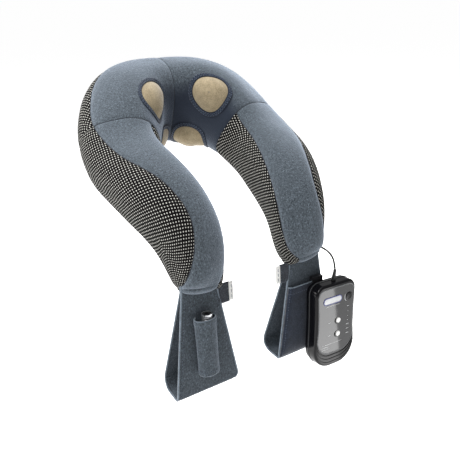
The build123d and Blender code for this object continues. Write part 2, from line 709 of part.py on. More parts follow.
for name, place in BUTTON_AT.items():
    with BuildPart() as button:
        spot = remote_plane().from_local_coords((*place, 0))
        base = Plane(spot, x_dir=(1, 0, 0), z_dir=panel_normal)
        disc(base.offset(switch_top + BUTTON_TRAVEL + 0.2), 2.0, 3.5)
        disc(base.offset(face_depth - 1.2 - 1.4), BUTTON_FLANGE_R, 1.2)
        disc(base.offset(face_depth - 1.2 - 0.3), BUTTON_R, 3.4)
        top_rim = button.faces().sort_by(FORWARD)[-1].edges()
        fillet(top_rim, 0.8)
    save(name, button.part)

# The clip is fixed to the remote's back and reaches down inside the pocket.
clip_x = STRAP_X + 14.0 - REMOTE_X
clip_top = POCKET_TOP - REMOTE_DROP
with BuildPart() as belt_clip:
    with BuildSketch(remote_plane(-REMOTE_OFF + 1.0)):
        with Locations((clip_x, clip_top - 17)):
            RectangleRounded(18, 46, 4)
    extrude(amount=1.8)
    with BuildSketch(remote_plane(-REMOTE_OFF + 1.0)):
        with Locations((clip_x, clip_top + 3.2)):
            Rectangle(18, 5)
    extrude(amount=REMOTE_OFF - 1.0)
    with BuildSketch(remote_plane(-1.8)):
        with Locations((clip_x, clip_top - 9.3)):
            RectangleRounded(18, 30, 4)
    extrude(amount=1.8)
save("belt_clip", belt_clip.part)

# -------------------------------------------------------------- remote's lead
cord_end = Vector(*CORD_ROUTE[-1])
relief_axis = (cord_end - Vector(*CORD_ROUTE[-2])).normalized()
remote_top = remote_plane(REMOTE_D / 2).from_local_coords((RELIEF_X, REMOTE_H / 2, 0))
with BuildPart() as strain_relief:
    down = Plane(cord_end, z_dir=relief_axis)
    relief_length = (remote_top - cord_end).length - 0.4
    with BuildSketch(down):
        Circle(RELIEF_TOP_R)
    with BuildSketch(down.offset(relief_length)):
        Circle(RELIEF_BASE_R)
    loft()
save("strain_relief", strain_relief.part)

with BuildPart() as cord_grommet:
    disc(grommet_plane().offset(-GROMMET_L), GROMMET_R - 0.1, GROMMET_L)
save("cord_grommet", cord_grommet.part)

radii = []
for before, here, after in zip(CORD_ROUTE, CORD_ROUTE[1:], CORD_ROUTE[2:]):
    run_in, run_out = Vector(*here) - Vector(*before), Vector(*after) - Vector(*here)
    turn = radians(run_in.get_angle(run_out))
    radii.append(0.45 * min(run_in.length, run_out.length) / tan(turn / 2))
with BuildPart() as remote_cord:
    with BuildLine() as route:
        FilletPolyline(*CORD_ROUTE, radius=radii)
    with BuildSketch(Plane(CORD_ROUTE[0], z_dir=route.line % 0)):
        Circle(CORD_R)
    sweep()
save("remote_cord", remote_cord.part)

cord_length = sum(edge.length for edge in route.edges())
print("cord radii", [round(r, 1) for r in radii], "length", round(cord_length, 1))
print("tube volume over section times length", remote_cord.part.volume / (pi * CORD_R**2 * cord_length))
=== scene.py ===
"""Shiatsu neck massager: cloth, stitching, lead, remote details, camera and light."""

import json
from math import atan2, cos, pi, radians, sin, tan

import bpy
import numpy as np
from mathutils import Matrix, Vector, noise
from mathutils.bvhtree import BVHTree


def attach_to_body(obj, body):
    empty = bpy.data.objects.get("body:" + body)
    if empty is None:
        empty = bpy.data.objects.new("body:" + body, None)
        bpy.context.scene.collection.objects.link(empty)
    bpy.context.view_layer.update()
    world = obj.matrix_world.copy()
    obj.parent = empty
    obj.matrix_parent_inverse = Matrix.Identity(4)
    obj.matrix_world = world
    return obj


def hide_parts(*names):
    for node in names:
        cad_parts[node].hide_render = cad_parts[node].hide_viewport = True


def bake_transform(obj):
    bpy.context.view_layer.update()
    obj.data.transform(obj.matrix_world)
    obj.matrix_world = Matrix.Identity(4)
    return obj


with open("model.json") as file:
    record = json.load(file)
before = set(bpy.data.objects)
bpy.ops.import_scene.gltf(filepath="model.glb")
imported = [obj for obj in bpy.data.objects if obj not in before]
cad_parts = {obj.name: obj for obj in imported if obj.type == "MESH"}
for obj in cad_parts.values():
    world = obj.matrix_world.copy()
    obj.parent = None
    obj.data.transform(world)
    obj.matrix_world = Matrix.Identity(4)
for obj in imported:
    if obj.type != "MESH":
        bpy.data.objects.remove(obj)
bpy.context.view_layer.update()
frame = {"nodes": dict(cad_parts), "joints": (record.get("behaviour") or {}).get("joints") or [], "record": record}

MM = 0.001
SIDES = {"left": -1, "right": 1}
joints = {joint["name"]: joint for joint in frame["joints"]}


def add_to_scene(name, data):
    """A new object of this data, in the scene."""
    piece = bpy.data.objects.new(name, data)
    bpy.context.scene.collection.objects.link(piece)
    return piece


# --- camera
AZIMUTH, ELEVATION = radians(-32.7), radians(23.9)
CAMERA_PLACE = (-0.3568, -0.6795, 0.168)
FOCAL_PIXELS, FRAME_PIXELS, SENSOR = 529, 460, 36
back = Vector((sin(AZIMUTH) * cos(ELEVATION), -cos(AZIMUTH) * cos(ELEVATION), sin(ELEVATION)))
camera_data = bpy.data.cameras.new("camera")
camera_data.sensor_width = SENSOR
camera_data.lens = SENSOR * FOCAL_PIXELS / FRAME_PIXELS
camera_data.clip_start = 0.01
camera = add_to_scene("camera", camera_data)
camera.location = CAMERA_PLACE
camera.rotation_euler = back.to_track_quat("Z", "Y").to_euler()
bpy.context.scene.camera = camera


# --- mesh helpers
def new_object(name, points, faces, material=None, uvs=None):
    """A mesh object from points and faces, with one UV pair for each point."""
    mesh = bpy.data.meshes.new(name)
    mesh.from_pydata([tuple(p) for p in points], [], [tuple(f) for f in faces])
    mesh.validate()
    if uvs is not None:
        layer = mesh.uv_layers.new(name="cloth")
        for loop in mesh.loops:
            layer.data[loop.index].uv = uvs[loop.vertex_index]
    mesh.shade_smooth()
    if material is not None:
        mesh.materials.append(material)
    return add_to_scene(name, mesh)


def grid_faces(rows, cols, start=0, wrap=False):
    """Quads between the rows and columns of a grid of points."""
    faces = []
    for i in range(rows - 1):
        for j in range(cols if wrap else cols - 1):
            k = (j + 1) % cols
            a, b = start + i * cols + j, start + i * cols + k
            faces.append((a, b, b + cols, a + cols))
    return faces


def attach(piece, slot, body, *replaced):
    """Give a piece its body and hide the nodes that it stands for; the slot is not used."""
    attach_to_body(piece, body)
    if replaced:
        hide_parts(*replaced)


class Batch:
    """Points and faces of several small parts that make one object."""

    def __init__(self):
        self.points, self.faces = [], []

    def add(self, points, faces):
        start = len(self.points)
        self.points += [tuple(p) for p in points]
        self.faces += [tuple(start + i for i in face) for face in faces]

    def build(self, name, material, body, slot):
        attach(new_object(name, self.points, self.faces, material), slot, body)


def frames_along(path, closed=False):
    """Unit vectors across a path, turned as little as possible along it."""
    path = np.asarray(path, float)
    if closed:
        tangents = np.roll(path, -1, 0) - np.roll(path, 1, 0)
    else:
        tangents = np.gradient(path, axis=0)
    tangents /= np.linalg.norm(tangents, axis=1, keepdims=True)
    side = np.cross(tangents[0], (0.31, 0.17, 0.93))
    sides = []
    for tangent in tangents:
        side = side - tangent * (side @ tangent)
        side = side / np.linalg.norm(side)
        sides.append(side)
    sides = np.array(sides)
    return sides, np.cross(tangents, sides)


def tube(path, radius, count=8, closed=False):
    """Points and faces of a tube along a path."""
    path = np.asarray(path, float)
    sides, ups = frames_along(path, closed)
    radii = np.broadcast_to(np.asarray(radius, float), (len(path),))
    turn = np.linspace(0, 2 * pi, count, endpoint=False)
    ring = np.cos(turn)[None, :, None] * sides[:, None] + np.sin(turn)[None, :, None] * ups[:, None]
    points = (path[:, None] + ring * radii[:, None, None]).reshape(-1, 3)
    faces = grid_faces(len(path), count, wrap=True)
    if closed:
        last = (len(path) - 1) * count
        faces += [(last + j, last + (j + 1) % count, (j + 1) % count, j) for j in range(count)]
    else:
        faces += [tuple(range(count))[::-1], tuple((len(path) - 1) * count + j for j in range(count))]
    return points, faces


def lengths_along(path):
    """The distance from a path's start to each of its points."""
    steps = np.linalg.norm(np.diff(np.asarray(path, float), axis=0), axis=1)
    return np.concatenate([[0], np.cumsum(steps)])


def resample(path, places):
    """Points at the given distances along a path."""
    path = np.asarray(path, float)
    along = lengths_along(path)
    return np.stack([np.interp(places, along, path[:, k]) for k in range(3)], 1)


def stitches(batch, path, length, gap, radius):
    """A row of stitches, sized in mm: short threads, thinner at both ends."""
    total = lengths_along(path)[-1]
    count = max(int(total / (length * MM + gap * MM)), 1)
    thread_places = np.linspace(0.1, 0.9, 5) / 0.9 * length / (length + gap)
    thread_radii = radius * MM * np.array([0.35, 0.9, 1, 0.9, 0.35])
    for k in range(count):
        thread = resample(path, (k + thread_places) * total / count)
        batch.add(*tube(thread, thread_radii, 5))


def ripple(points, scale, seed=0.0):
    """Smooth noise from about -1 to 1 at each point, the same on every run."""
    flat = np.asarray(points).reshape(-1, 3)
    shift = Vector((seed, seed * 0.7, -seed))
    values = [noise.noise(Vector(p) / scale + shift) for p in flat]
    return np.array(values).reshape(np.asarray(points).shape[:-1])


# --- materials
class Nodes:
    """Short calls for building one material's node tree."""

    def __init__(self, name):
        self.material = bpy.data.materials.new(name)
        self.material.use_nodes = True
        self.tree = self.material.node_tree
        self.shader = self.tree.nodes["Principled BSDF"]

    def put(self, socket, value):
        """Link another node's output to a socket, or set the socket's own value."""
        if isinstance(value, bpy.types.NodeSocket):
            self.tree.links.new(value, socket)
        else:
            socket.default_value = value

    def node(self, kind, inputs=None, **settings):
        made = self.tree.nodes.new(kind)
        for key, value in settings.items():
            setattr(made, key, value)
        for key, value in (inputs or {}).items():
            self.put(made.inputs[key], value)
        return made

    def math(self, operation, first, second=0.0):
        return self.node("ShaderNodeMath", {0: first, 1: second}, operation=operation).outputs[0]

    def vector(self, operation, inputs):
        return self.node("ShaderNodeVectorMath", inputs, operation=operation).outputs[0]

    def noise(self, place, scale, detail=2.0, rough=0.5):
        inputs = {"Vector": place, "Scale": scale, "Detail": detail, "Roughness": rough}
        return self.node("ShaderNodeTexNoise", inputs).outputs["Fac"]

    def cells(self, place, scale, scatter=1.0, **settings):
        """The distance from the nearest of many points, on a grid if scatter is 0."""
        inputs = {"Vector": place, "Scale": scale, "Randomness": scatter}
        return self.node("ShaderNodeTexVoronoi", inputs, feature="F1", **settings).outputs["Distance"]

    def ramp(self, value, stops):
        """Colours or greys along a value, as (position, colour) pairs."""
        made = self.node("ShaderNodeValToRGB", {"Fac": value})
        ramp = made.color_ramp
        while len(ramp.elements) < len(stops):
            ramp.elements.new(0.5)
        for element, (position, colour) in zip(ramp.elements, stops):
            element.position = position
            element.color = (*colour, 1) if len(colour) == 3 else colour
        return made.outputs["Color"]

    def spread(self, value, low, high, to_low=0.0, to_high=1.0):
        inputs = {"Value": value, "From Min": low, "From Max": high, "To Min": to_low, "To Max": to_high}
        return self.node("ShaderNodeMapRange", inputs, interpolation_type="SMOOTHSTEP").outputs["Result"]

    def mix(self, share, first, second, blend="MIX"):
        made = self.node("ShaderNodeMix", data_type="RGBA", blend_type=blend)
        for index, value in ((0, share), (6, first), (7, second)):
            self.put(made.inputs[index], (*value, 1) if isinstance(value, tuple) else value)
        return made.outputs[2]

    def bump(self, height, distance, strength=1.0, below=None):
        inputs = {"Height": height, "Distance": distance, "Strength": strength}
        if below is not None:
            inputs["Normal"] = below
        return self.node("ShaderNodeBump", inputs).outputs["Normal"]

    def place(self):
        return self.node("ShaderNodeTexCoord").outputs["Object"]

    def uv(self):
        return self.node("ShaderNodeTexCoord").outputs["UV"]

    def finish(self, colour, normal, roughness, values):
        values = {"Base Color": colour, "Normal": normal, "Roughness": roughness, **values}
        for key, value in values.items():
            self.put(self.shader.inputs[key], value)
        return self.material


def grey(value):
    return (value, value, value)


def shade(colour, factor):
    return tuple(min(c * factor, 1.0) for c in colour)


def cloth_values(sheen, tint=(1, 1, 1, 1)):
    """The settings that every cloth shares."""
    return {
        "Sheen Weight": sheen,
        "Sheen Roughness": 0.45,
        "Sheen Tint": tint,
        "Specular IOR Level": 0.2,
    }


def knit(name, colour, contrast=1.0, sheen=0.5, inner=None):
    """Heathered knit: pale and dark fibres on a base colour, with soft loops."""
    n = Nodes(name)
    place = n.place()
    clouds = n.noise(place, 420, 3, 0.6)
    fibres = n.noise(place, 1300, 2, 0.7)
    stretched = {"Vector": place, "Scale": (1.0, 1.0, 0.35), "Rotation": (0.6, 0.3, 0.5)}
    streak = n.node("ShaderNodeMapping", stretched).outputs[0]
    threads = n.noise(streak, 1000, 2, 0.6)
    heather = n.math("ADD", n.math("MULTIPLY", clouds, 0.45), n.math("MULTIPLY", threads, 0.55))
    dark, pale = shade(colour, 1 - 0.62 * contrast), shade(colour, 1 + 1.15 * contrast)
    stops = [(0.36, dark), (0.47, shade(colour, 0.86)), (0.55, shade(colour, 1.1)), (0.66, pale)]
    base = n.ramp(heather, stops)
    speck = n.spread(fibres, 0.62, 0.72)
    base = n.mix(n.math("MULTIPLY", speck, 0.35 * contrast), base, shade(colour, 2.3))
    # On the neck side the knit turns a darker navy: partly a darker cloth, partly painted shade on the inner wall.
    if inner is not None:
        zone = n.node("ShaderNodeAttribute", attribute_name="neck_navy_and_shade_zone").outputs["Fac"]
        base = n.mix(zone, base, n.mix(heather, shade(inner, 0.7), shade(inner, 1.5)))
    loops = n.cells(place, 620)
    normal = n.bump(loops, 0.0005, 0.55, n.bump(fibres, 0.0006, 0.5))
    return n.finish(base, normal, 0.88, cloth_values(sheen, (0.70, 0.80, 0.95, 1)))


def spacer_mesh(name, pitch, turn, dot):
    """Black spacer mesh with pale woven dots set on the diagonal."""
    n = Nodes(name)
    rotation = {"Vector": n.uv(), "Angle": radians(turn)}
    rotated = n.node("ShaderNodeVectorRotate", rotation, rotation_type="Z_AXIS").outputs[0]
    sizes = (1 / pitch[0], 1 / pitch[1], 1)
    turned = n.node("ShaderNodeMapping", {"Vector": rotated, "Scale": sizes}).outputs[0]
    waviness = {"Vector": n.uv(), "Scale": 220.0}
    wobble = n.node("ShaderNodeTexNoise", waviness, noise_dimensions="2D").outputs["Color"]
    shifted = n.vector("SUBTRACT", {0: wobble, 1: (0.5, 0.5, 0.5)})
    shifted = n.vector("SCALE", {0: shifted, "Scale": 0.22})
    place = n.vector("ADD", {0: turned, 1: shifted})
    cells = n.cells(place, 1.0, 0.0, voronoi_dimensions="2D")
    knot = n.spread(cells, dot * 1.2, dot * 0.8)
    grain = n.noise(n.place(), 1500, 2)
    thread = n.ramp(grain, [(0.3, (0.32, 0.31, 0.28)), (0.7, (0.74, 0.73, 0.68))])
    ground = n.ramp(grain, [(0.3, grey(0.001)), (0.75, grey(0.006))])
    colour = n.mix(knot, ground, thread)
    normal = n.bump(knot, 0.0007, 0.8, n.bump(grain, 0.0002, 0.5))
    return n.finish(colour, normal, 0.9, {"Sheen Weight": 0.02, "Specular IOR Level": 0.08})


def stretch_cloth(name, dark, pale, scale=900, sheen=0.4):
    """Fine, even stretch fabric with a soft nap."""
    n = Nodes(name)
    place = n.place()
    grain = n.noise(place, scale, 3, 0.65)
    patch = n.noise(place, 130, 2, 0.5)
    mixed = n.math("ADD", n.math("MULTIPLY", grain, 0.75), n.math("MULTIPLY", patch, 0.25))
    middle = tuple((a + b) / 2 for a, b in zip(dark, pale))
    colour = n.ramp(mixed, [(0.36, dark), (0.52, middle), (0.64, pale)])
    normal = n.bump(grain, 0.0006, 0.6)
    return n.finish(colour, normal, 0.86, cloth_values(sheen))


def moulded(name, colour, roughness, grain=0.1, coat=0.0, wear=1.0, gloss=0.5):
    """Moulded plastic or rubber: faint mottling, fine bump and uneven gloss."""
    n = Nodes(name)
    place = n.place()
    mottle = n.noise(place, 90, 3, 0.6)
    fine = n.noise(place, 1400, 2, 0.6)
    tint = n.ramp(mottle, [(0.3, shade(colour, 1 - 0.12 * wear)), (0.7, shade(colour, 1 + 0.12 * wear))])
    sheen = n.spread(mottle, 0.25, 0.75, roughness * 0.8, roughness * 1.25)
    normal = n.bump(fine, 0.00012, grain)
    values = {"Coat Weight": coat, "Coat Roughness": 0.03, "Specular IOR Level": gloss}
    return n.finish(tint, normal, sheen, values)


def metal(name, colour, roughness, lines=0.3):
    """Turned metal: bright, with fine tool marks in its gloss."""
    n = Nodes(name)
    place = n.place()
    marks = n.node("ShaderNodeMapping", {"Vector": place, "Scale": (1, 1, 9)}).outputs[0]
    fine = n.noise(marks, 900, 3, 0.6)
    gloss = n.spread(fine, 0.3, 0.7, roughness * 0.7, roughness * 1.4)
    tint = n.ramp(fine, [(0.3, shade(colour, 0.85)), (0.7, shade(colour, 1.05))])
    return n.finish(tint, n.bump(fine, 0.0001, lines), gloss, {"Metallic": 1.0})


KNIT_BLUE = (0.062, 0.076, 0.090)
NAVY = (0.013, 0.018, 0.030)
# The collar's knit turns a darker navy on the neck side: partly darker cloth, partly painted shade.
knit_material = knit("knit", KNIT_BLUE, 1.2, inner=NAVY, sheen=0.7)
strap_material = knit("strap_knit", shade(KNIT_BLUE, 0.78), sheen=0.4)
mesh_material = spacer_mesh("spacer_mesh", (3.2 * MM, 4.3 * MM), 64, 0.215)
navy_material = stretch_cloth("navy_cloth", shade(NAVY, 0.6), shade(NAVY, 1.7), 700, 0.3)
tan_material = stretch_cloth("tan_stretch", (0.19, 0.15, 0.088), (0.42, 0.345, 0.225), 1000, 0.35)
binding_material = stretch_cloth("binding", (0.07, 0.09, 0.115), (0.22, 0.27, 0.32), 1300, 0.5)
thread_dark = stretch_cloth("dark_thread", (0.008, 0.010, 0.014), (0.03, 0.035, 0.045), 2500, 0.2)
thread_blue = stretch_cloth("blue_thread", (0.035, 0.050, 0.085), (0.10, 0.135, 0.20), 2500, 0.4)
webbing_material = knit("dark_webbing", (0.030, 0.033, 0.040), sheen=0.3)
label_material = stretch_cloth("white_label", (0.60, 0.60, 0.58), (0.86, 0.86, 0.84), 1800, 0.2)
cord_material = moulded("cord_rubber", grey(0.012), 0.42, 0.3)
print_material = moulded("pale_print", (0.62, 0.63, 0.64), 0.35, 0.1)
lip_material = moulded("lip_grey", (0.10, 0.103, 0.108), 0.2, 0.05, 0.2, gloss=0.3)
badge_blue = moulded("badge_blue", (0.02, 0.03, 0.22), 0.3, 0.05, 0.3)
sleeve_material = knit("sleeve_knit", shade(KNIT_BLUE, 0.9), sheen=0.4)

SLOT_MATERIALS = {
    "knit_fabric": knit_material,
    "dotted_mesh": mesh_material,
    "navy_fabric": navy_material,
    "tan_stretch_fabric": tan_material,
    "strap_fabric": strap_material,
    "dark_webbing": webbing_material,
    "label_fabric": label_material,
    "polished_metal": metal("polished_metal", (0.86, 0.87, 0.88), 0.34),
    "cord_rubber": cord_material,
    "steel": metal("steel", (0.55, 0.56, 0.57), 0.28),
    "bronze": metal("bronze", (0.62, 0.42, 0.20), 0.35),
}
# The plastics: colour, roughness, grain, coat, wear and gloss, as moulded() takes them.
PLASTICS = {
    "socket_plastic": (grey(0.015), 0.4, 0.3),
    "remote_gloss": ((0.003, 0.003, 0.004), 0.12, 0.03, 0.08, 1.0, 0.15),
    "silver_trim": ((0.035, 0.036, 0.038), 0.22, 0.05, 0.05, 1.0, 0.25),
    "faceplate_grey": ((0.015, 0.0155, 0.017), 0.05, 0.03),
    "button_white": ((0.82, 0.82, 0.80), 0.25, 0.05, 0.4),
    "clip_plastic": ((0.014, 0.014, 0.016), 0.35, 0.3),
    "board": ((0.02, 0.12, 0.05), 0.4, 0.2),
    "nylon": ((0.66, 0.65, 0.60), 0.5, 0.3),
    "head_plastic": ((0.55, 0.44, 0.29), 0.45, 0.3),
}
SLOT_MATERIALS.update({name: moulded(name, *values) for name, values in PLASTICS.items()})
for part in frame["record"]["subparts"]:
    node = frame["nodes"][part["node"]]
    node.data.materials.clear()
    node.data.materials.append(SLOT_MATERIALS[part["material_slot"]])


# --- the collar's shape
# One half of the collar's spine in millimetres, from the centre of the back to the
# arm's end: centre (x, y, z), half depth, half height and lean, as the pads have.
SPINE = [
    (0, 75, 20, 45, 63, 18),
    (46, 64, 17, 50, 64, 8),
    (78, 36, 7, 53, 59, -4),
    (100, -4, -20, 54, 51, -12),
    (104, -51, -41, 49, 47, -12),
    (95, -108, -62, 45, 47, -5),
    (84, -155, -97, 39, 41, 6),
    (80, -175, -143, 33, 29, 15),
    (81, -181, -162, 25, 17, 15),
]
SHOULDER = 3.05  # the shoulder seam, in stations from the centre of the back
CAP_START, CAP_END, CAP_LENGTH = 7.7, 8.2, 10 * MM
SECTION_POWER = 2.6  # of the superellipse that a foam section has
# Borders of the cloth panels as (station, angle round the section in degrees), with
# 0 outwards, 90 on top, 180 on the neck side and 270 underneath.
OUTER_BORDER = [(0, 50), (1.85, 60), (2.35, 66), (3.45, 69), (4.42, 66), (5.2, 75), (5.85, 72),
                (6.15, 58), (6.5, 38), (6.9, 17), (7.6, 2), (8.2, -4)]
INNER_BORDER = [(3.05, 150), (4.35, 146), (5.1, 145), (5.65, 144), (6.23, 140), (6.85, 134), (8.2, 124)]
BACK_LOW = 262.0


def natural_spline(values):
    """A smooth function through values at 0, 1, 2 and so on."""
    values = np.asarray(values, float)
    count = len(values)
    system = np.eye(count)
    bends = np.zeros_like(values)
    for i in range(1, count - 1):
        system[i, i - 1 : i + 2] = (1, 4, 1)
        bends[i] = 6 * (values[i - 1] - 2 * values[i] + values[i + 1])
    bends = np.linalg.solve(system, bends)

    def curve(t):
        i = np.clip(np.floor(t).astype(int), 0, count - 2)
        f = (t - i)[..., None]
        chord = values[i] * (1 - f) + values[i + 1] * f
        return chord - f * (1 - f) / 6 * ((2 - f) * bends[i] + (1 + f) * bends[i + 1])

    return curve


half_spine = np.array(SPINE, float)
other_half = half_spine[:0:-1] * (-1, 1, 1, 1, 1, 1)
spine_curve = natural_spline(np.vstack([other_half, half_spine]) * ([MM] * 5 + [pi / 180]))
CENTRE_STATION = len(SPINE) - 1


def unit(vectors):
    return vectors / np.linalg.norm(vectors, axis=-1, keepdims=True)


def section(u):
    """Centre, outward and upward vectors, run, half depth and half height at u."""
    t = np.asarray(u, float) + CENTRE_STATION
    here = spine_curve(t)
    run = unit(spine_curve(t + 0.01)[..., :3] - spine_curve(t - 0.01)[..., :3])
    outward = unit(np.cross((0, 0, 1), run))
    upward = np.cross(run, outward)
    lean = here[..., 5:6]
    out = outward * np.cos(lean) + upward * np.sin(lean)
    up = upward * np.cos(lean) - outward * np.sin(lean)
    return here[..., :3], out, up, run, here[..., 3:4], here[..., 4:5]


def bare_collar(u, phi):
    """Points of the foam's surface at station u and angle phi, in degrees."""
    u, phi = np.broadcast_arrays(np.asarray(u, float), np.radians(np.asarray(phi, float)))
    side = np.sign(u)
    over = np.clip((np.abs(u) - CAP_START) / (CAP_END - CAP_START), 0, 1)[..., None]
    centre, out, up, run, depth, height = section(side * np.minimum(np.abs(u), CAP_START))
    c, s = np.cos(phi), np.sin(phi)
    wide = (np.sign(c) * np.abs(c) ** (2 / SECTION_POWER))[..., None]
    high = (np.sign(s) * np.abs(s) ** (2 / SECTION_POWER))[..., None]
    round_end = np.sqrt(np.clip(1 - over**2, 0, 1))
    depth = depth * (1 - 0.16 * over**3)
    height = height * (0.94 * round_end + 0.06)
    reach = over * (1 - 0.25 * wide**2) * CAP_LENGTH * side[..., None]
    return centre + run * reach + out * wide * depth + up * high * height


def collar(u, phi, lift=0.0):
    """Points on the collar, raised along its normal, and those normals."""
    points = bare_collar(u, phi)
    du = bare_collar(u + 0.01, phi) - bare_collar(u - 0.01, phi)
    dphi = bare_collar(u, phi + 1.5) - bare_collar(u, phi - 1.5)
    normals = np.cross(dphi, du)
    normals /= np.linalg.norm(normals, axis=-1, keepdims=True) + 1e-12
    return points + normals * np.asarray(lift)[..., None], normals


def border(table, u):
    """A panel's border angle at stations u, with its corners eased."""
    stations, angles = np.array(table, float).T
    eased = [np.interp(np.abs(u) + shift, stations, angles) for shift in np.linspace(-0.2, 0.2, 9)]
    return np.mean(eased, axis=0)


def outer_border(u):
    return border(OUTER_BORDER, u) - np.where(u > 0, 8.0, 0.0) * np.clip((np.abs(u) - 1.5) / 1.5, 0, 1)


def inner_border(u):
    return border(INNER_BORDER, u)


def dense_ends(count, power=1.6):
    """Places from 0 to 1 that crowd towards both ends."""
    t = np.linspace(-1, 1, count)
    return 0.5 + 0.5 * np.sign(t) * (1 - (1 - np.abs(t)) ** power)


# --- the collar's cloth
SEAM_SINK, SEAM_SOFT, CROWN = 1.9 * MM, 3.8 * MM, 1.2 * MM
END_SINK, END_SOFT = 1.0 * MM, 2.4 * MM  # where two panels of one cloth meet
BACK_ROWS, BACK_COLS, ROW_CROWDING = 100, 130, 1.35


def panel(first, last, low, high, rows, cols, sewn_ends=(True, True)):
    """One sewn cloth panel: it sinks into its seams and crowns between them."""
    share = dense_ends(rows, ROW_CROWDING)
    u = first + (last - first) * share
    v = dense_ends(cols)
    phi = low(u)[:, None] + (high(u) - low(u))[:, None] * v
    uu = np.repeat(u[:, None], cols, 1)
    flat = bare_collar(uu, phi)
    col_steps = np.linalg.norm(np.diff(flat, axis=1), axis=2)
    row_steps = np.linalg.norm(np.diff(flat, axis=0), axis=2)
    across = np.concatenate([np.zeros((rows, 1)), np.cumsum(col_steps, 1)], 1)
    along = np.concatenate([np.zeros((1, cols)), np.cumsum(row_steps, 0)], 0)
    edge = np.minimum(across, across[:, -1:] - across)
    end = np.full_like(edge, 1.0)
    for sewn, distance in zip(sewn_ends, (along, along[-1:] - along)):
        if sewn:
            end = np.minimum(end, distance)
    nearest = np.minimum(edge, end)
    pucker = 1 + 0.35 * ripple(flat, 9 * MM, 3.0)
    waves = 0.5 * MM * ripple(flat, 34 * MM, 1.0) + 0.9 * MM * ripple(flat, 75 * MM, 5.0)
    lift = CROWN * (1 - np.exp(-nearest / (22 * MM))) + waves * (1 - np.exp(-nearest / (15 * MM)))
    groove = np.maximum(SEAM_SINK * np.exp(-edge / SEAM_SOFT), END_SINK * np.exp(-end / END_SOFT))
    lift -= groove * pucker
    points, normals = collar(uu, phi, lift)
    uvs = np.stack([along - along[rows // 2], across - across[:, -1:] / 2], 2)
    return points, uvs


def panel_object(name, panels, material, slot, body, *nodes):
    """Join panels into one piece that stands for the pad's solids."""
    points, faces, uvs = [], [], []
    for grid, uv in panels:
        faces += grid_faces(grid.shape[0], grid.shape[1], len(points))
        points += list(grid.reshape(-1, 3))
        uvs += list(uv.reshape(-1, 2))
    piece = new_object(name, points, faces, material, uvs)
    attach(piece, slot, body, *nodes)
    return piece


def constant(value):
    return lambda u: np.full(np.shape(u), float(value))


def all_round(u):
    return 360.0 + outer_border(u)


BACK_HALVES = [(-SHOULDER, 0), (0, SHOULDER)]
back_cover = panel_object(
    "back_cover",
    [panel(*half, outer_border, constant(BACK_LOW), BACK_ROWS, BACK_COLS) for half in BACK_HALVES],
    knit_material, "knit_fabric", "collar", "back_pad",
)
panel_object(
    "back_mesh_band", [panel(-SHOULDER, SHOULDER, constant(BACK_LOW), all_round, 200, 60)],
    mesh_material, "dotted_mesh", "collar",
)
for side, sign in SIDES.items():
    ends = (True, False) if sign > 0 else (False, True)
    span = (SHOULDER, CAP_END) if sign > 0 else (-CAP_END, -SHOULDER)
    panel_object(
        f"{side}_arm_cover", [panel(*span, outer_border, inner_border, 130, 46, ends)],
        knit_material, "knit_fabric", "collar", f"{side}_arm_pad",
    )
    panel_object(
        f"{side}_arm_mesh", [panel(*span, inner_border, all_round, 130, 90, ends)],
        mesh_material, "dotted_mesh", "collar",
    )


# --- seams in the collar
NECK_LOW, NECK_HIGH = 128, 165  # the angles over which the cloth turns darker navy: partly darker cloth, partly painted shade


def mark_neck_navy_and_shade(piece):
    """How far each point of the back's cloth lies towards the neck side, where it turns darker navy: partly darker
    cloth, partly painted shade.
    """
    layer = piece.data.attributes.new("neck_navy_and_shade_zone", "FLOAT", "POINT")
    angles = []
    for first, last in BACK_HALVES:
        start = outer_border(first + (last - first) * dense_ends(BACK_ROWS, ROW_CROWDING))[:, None]
        angles.append((start + (BACK_LOW - start) * dense_ends(BACK_COLS)).ravel())
    shares = np.clip((np.concatenate(angles) - NECK_LOW) / (NECK_HIGH - NECK_LOW), 0, 1)
    for vertex, value in zip(layer.data, shares):
        vertex.value = float(value * value * (3 - 2 * value))


mark_neck_navy_and_shade(back_cover)


def seam_path(u, phi, sink):
    """A seam's line in the groove between two panels."""
    u, phi = np.broadcast_arrays(np.asarray(u, float), np.asarray(phi, float))
    return collar(u, phi, np.full(u.shape, -sink))[0]


seams = Batch()
for station in (-SHOULDER, 0.0, SHOULDER):
    start = float(outer_border(np.array([station]))[0])
    end = BACK_LOW if station == 0 else float(inner_border(np.array([station]))[0])
    line = seam_path(station, np.linspace(start, end, 90), END_SINK - 0.15 * MM)
    seams.add(*tube(line, 0.42 * MM, 6))
for sign in SIDES.values():
    for table, first in ((outer_border, 0.0), (inner_border, SHOULDER)):
        u = sign * np.linspace(first, CAP_END - 0.1, 220)
        seams.add(*tube(seam_path(u, table(u), SEAM_SINK - 0.25 * MM), 0.5 * MM, 6))
seams.build("seam_threads", thread_dark, "collar", "knit_fabric")

hems = Batch()
HEM_STATION = 7.92  # just before the arm's end
for sign in SIDES.values():
    u = np.full(60, sign * HEM_STATION)
    phi = np.linspace(float(outer_border(u[:1])[0]) + 6, float(inner_border(u[:1])[0]) - 6, 60)
    stitches(hems, collar(u, phi, np.full(60, 0.35 * MM))[0], 2.6, 1.3, 0.3)
hems.build("arm_end_stitches", binding_material, "collar", "knit_fabric")

# --- the windows
# The distance of each window from its head's joint, and its radius.
WINDOWS = {"upper": (34.5 * MM, 26.6 * MM), "lower": (31.4 * MM, 27.0 * MM)}
DOME = 9.5 * MM  # how far the cloth swells over a head
WINDOW_LIFT = 0.2 * MM
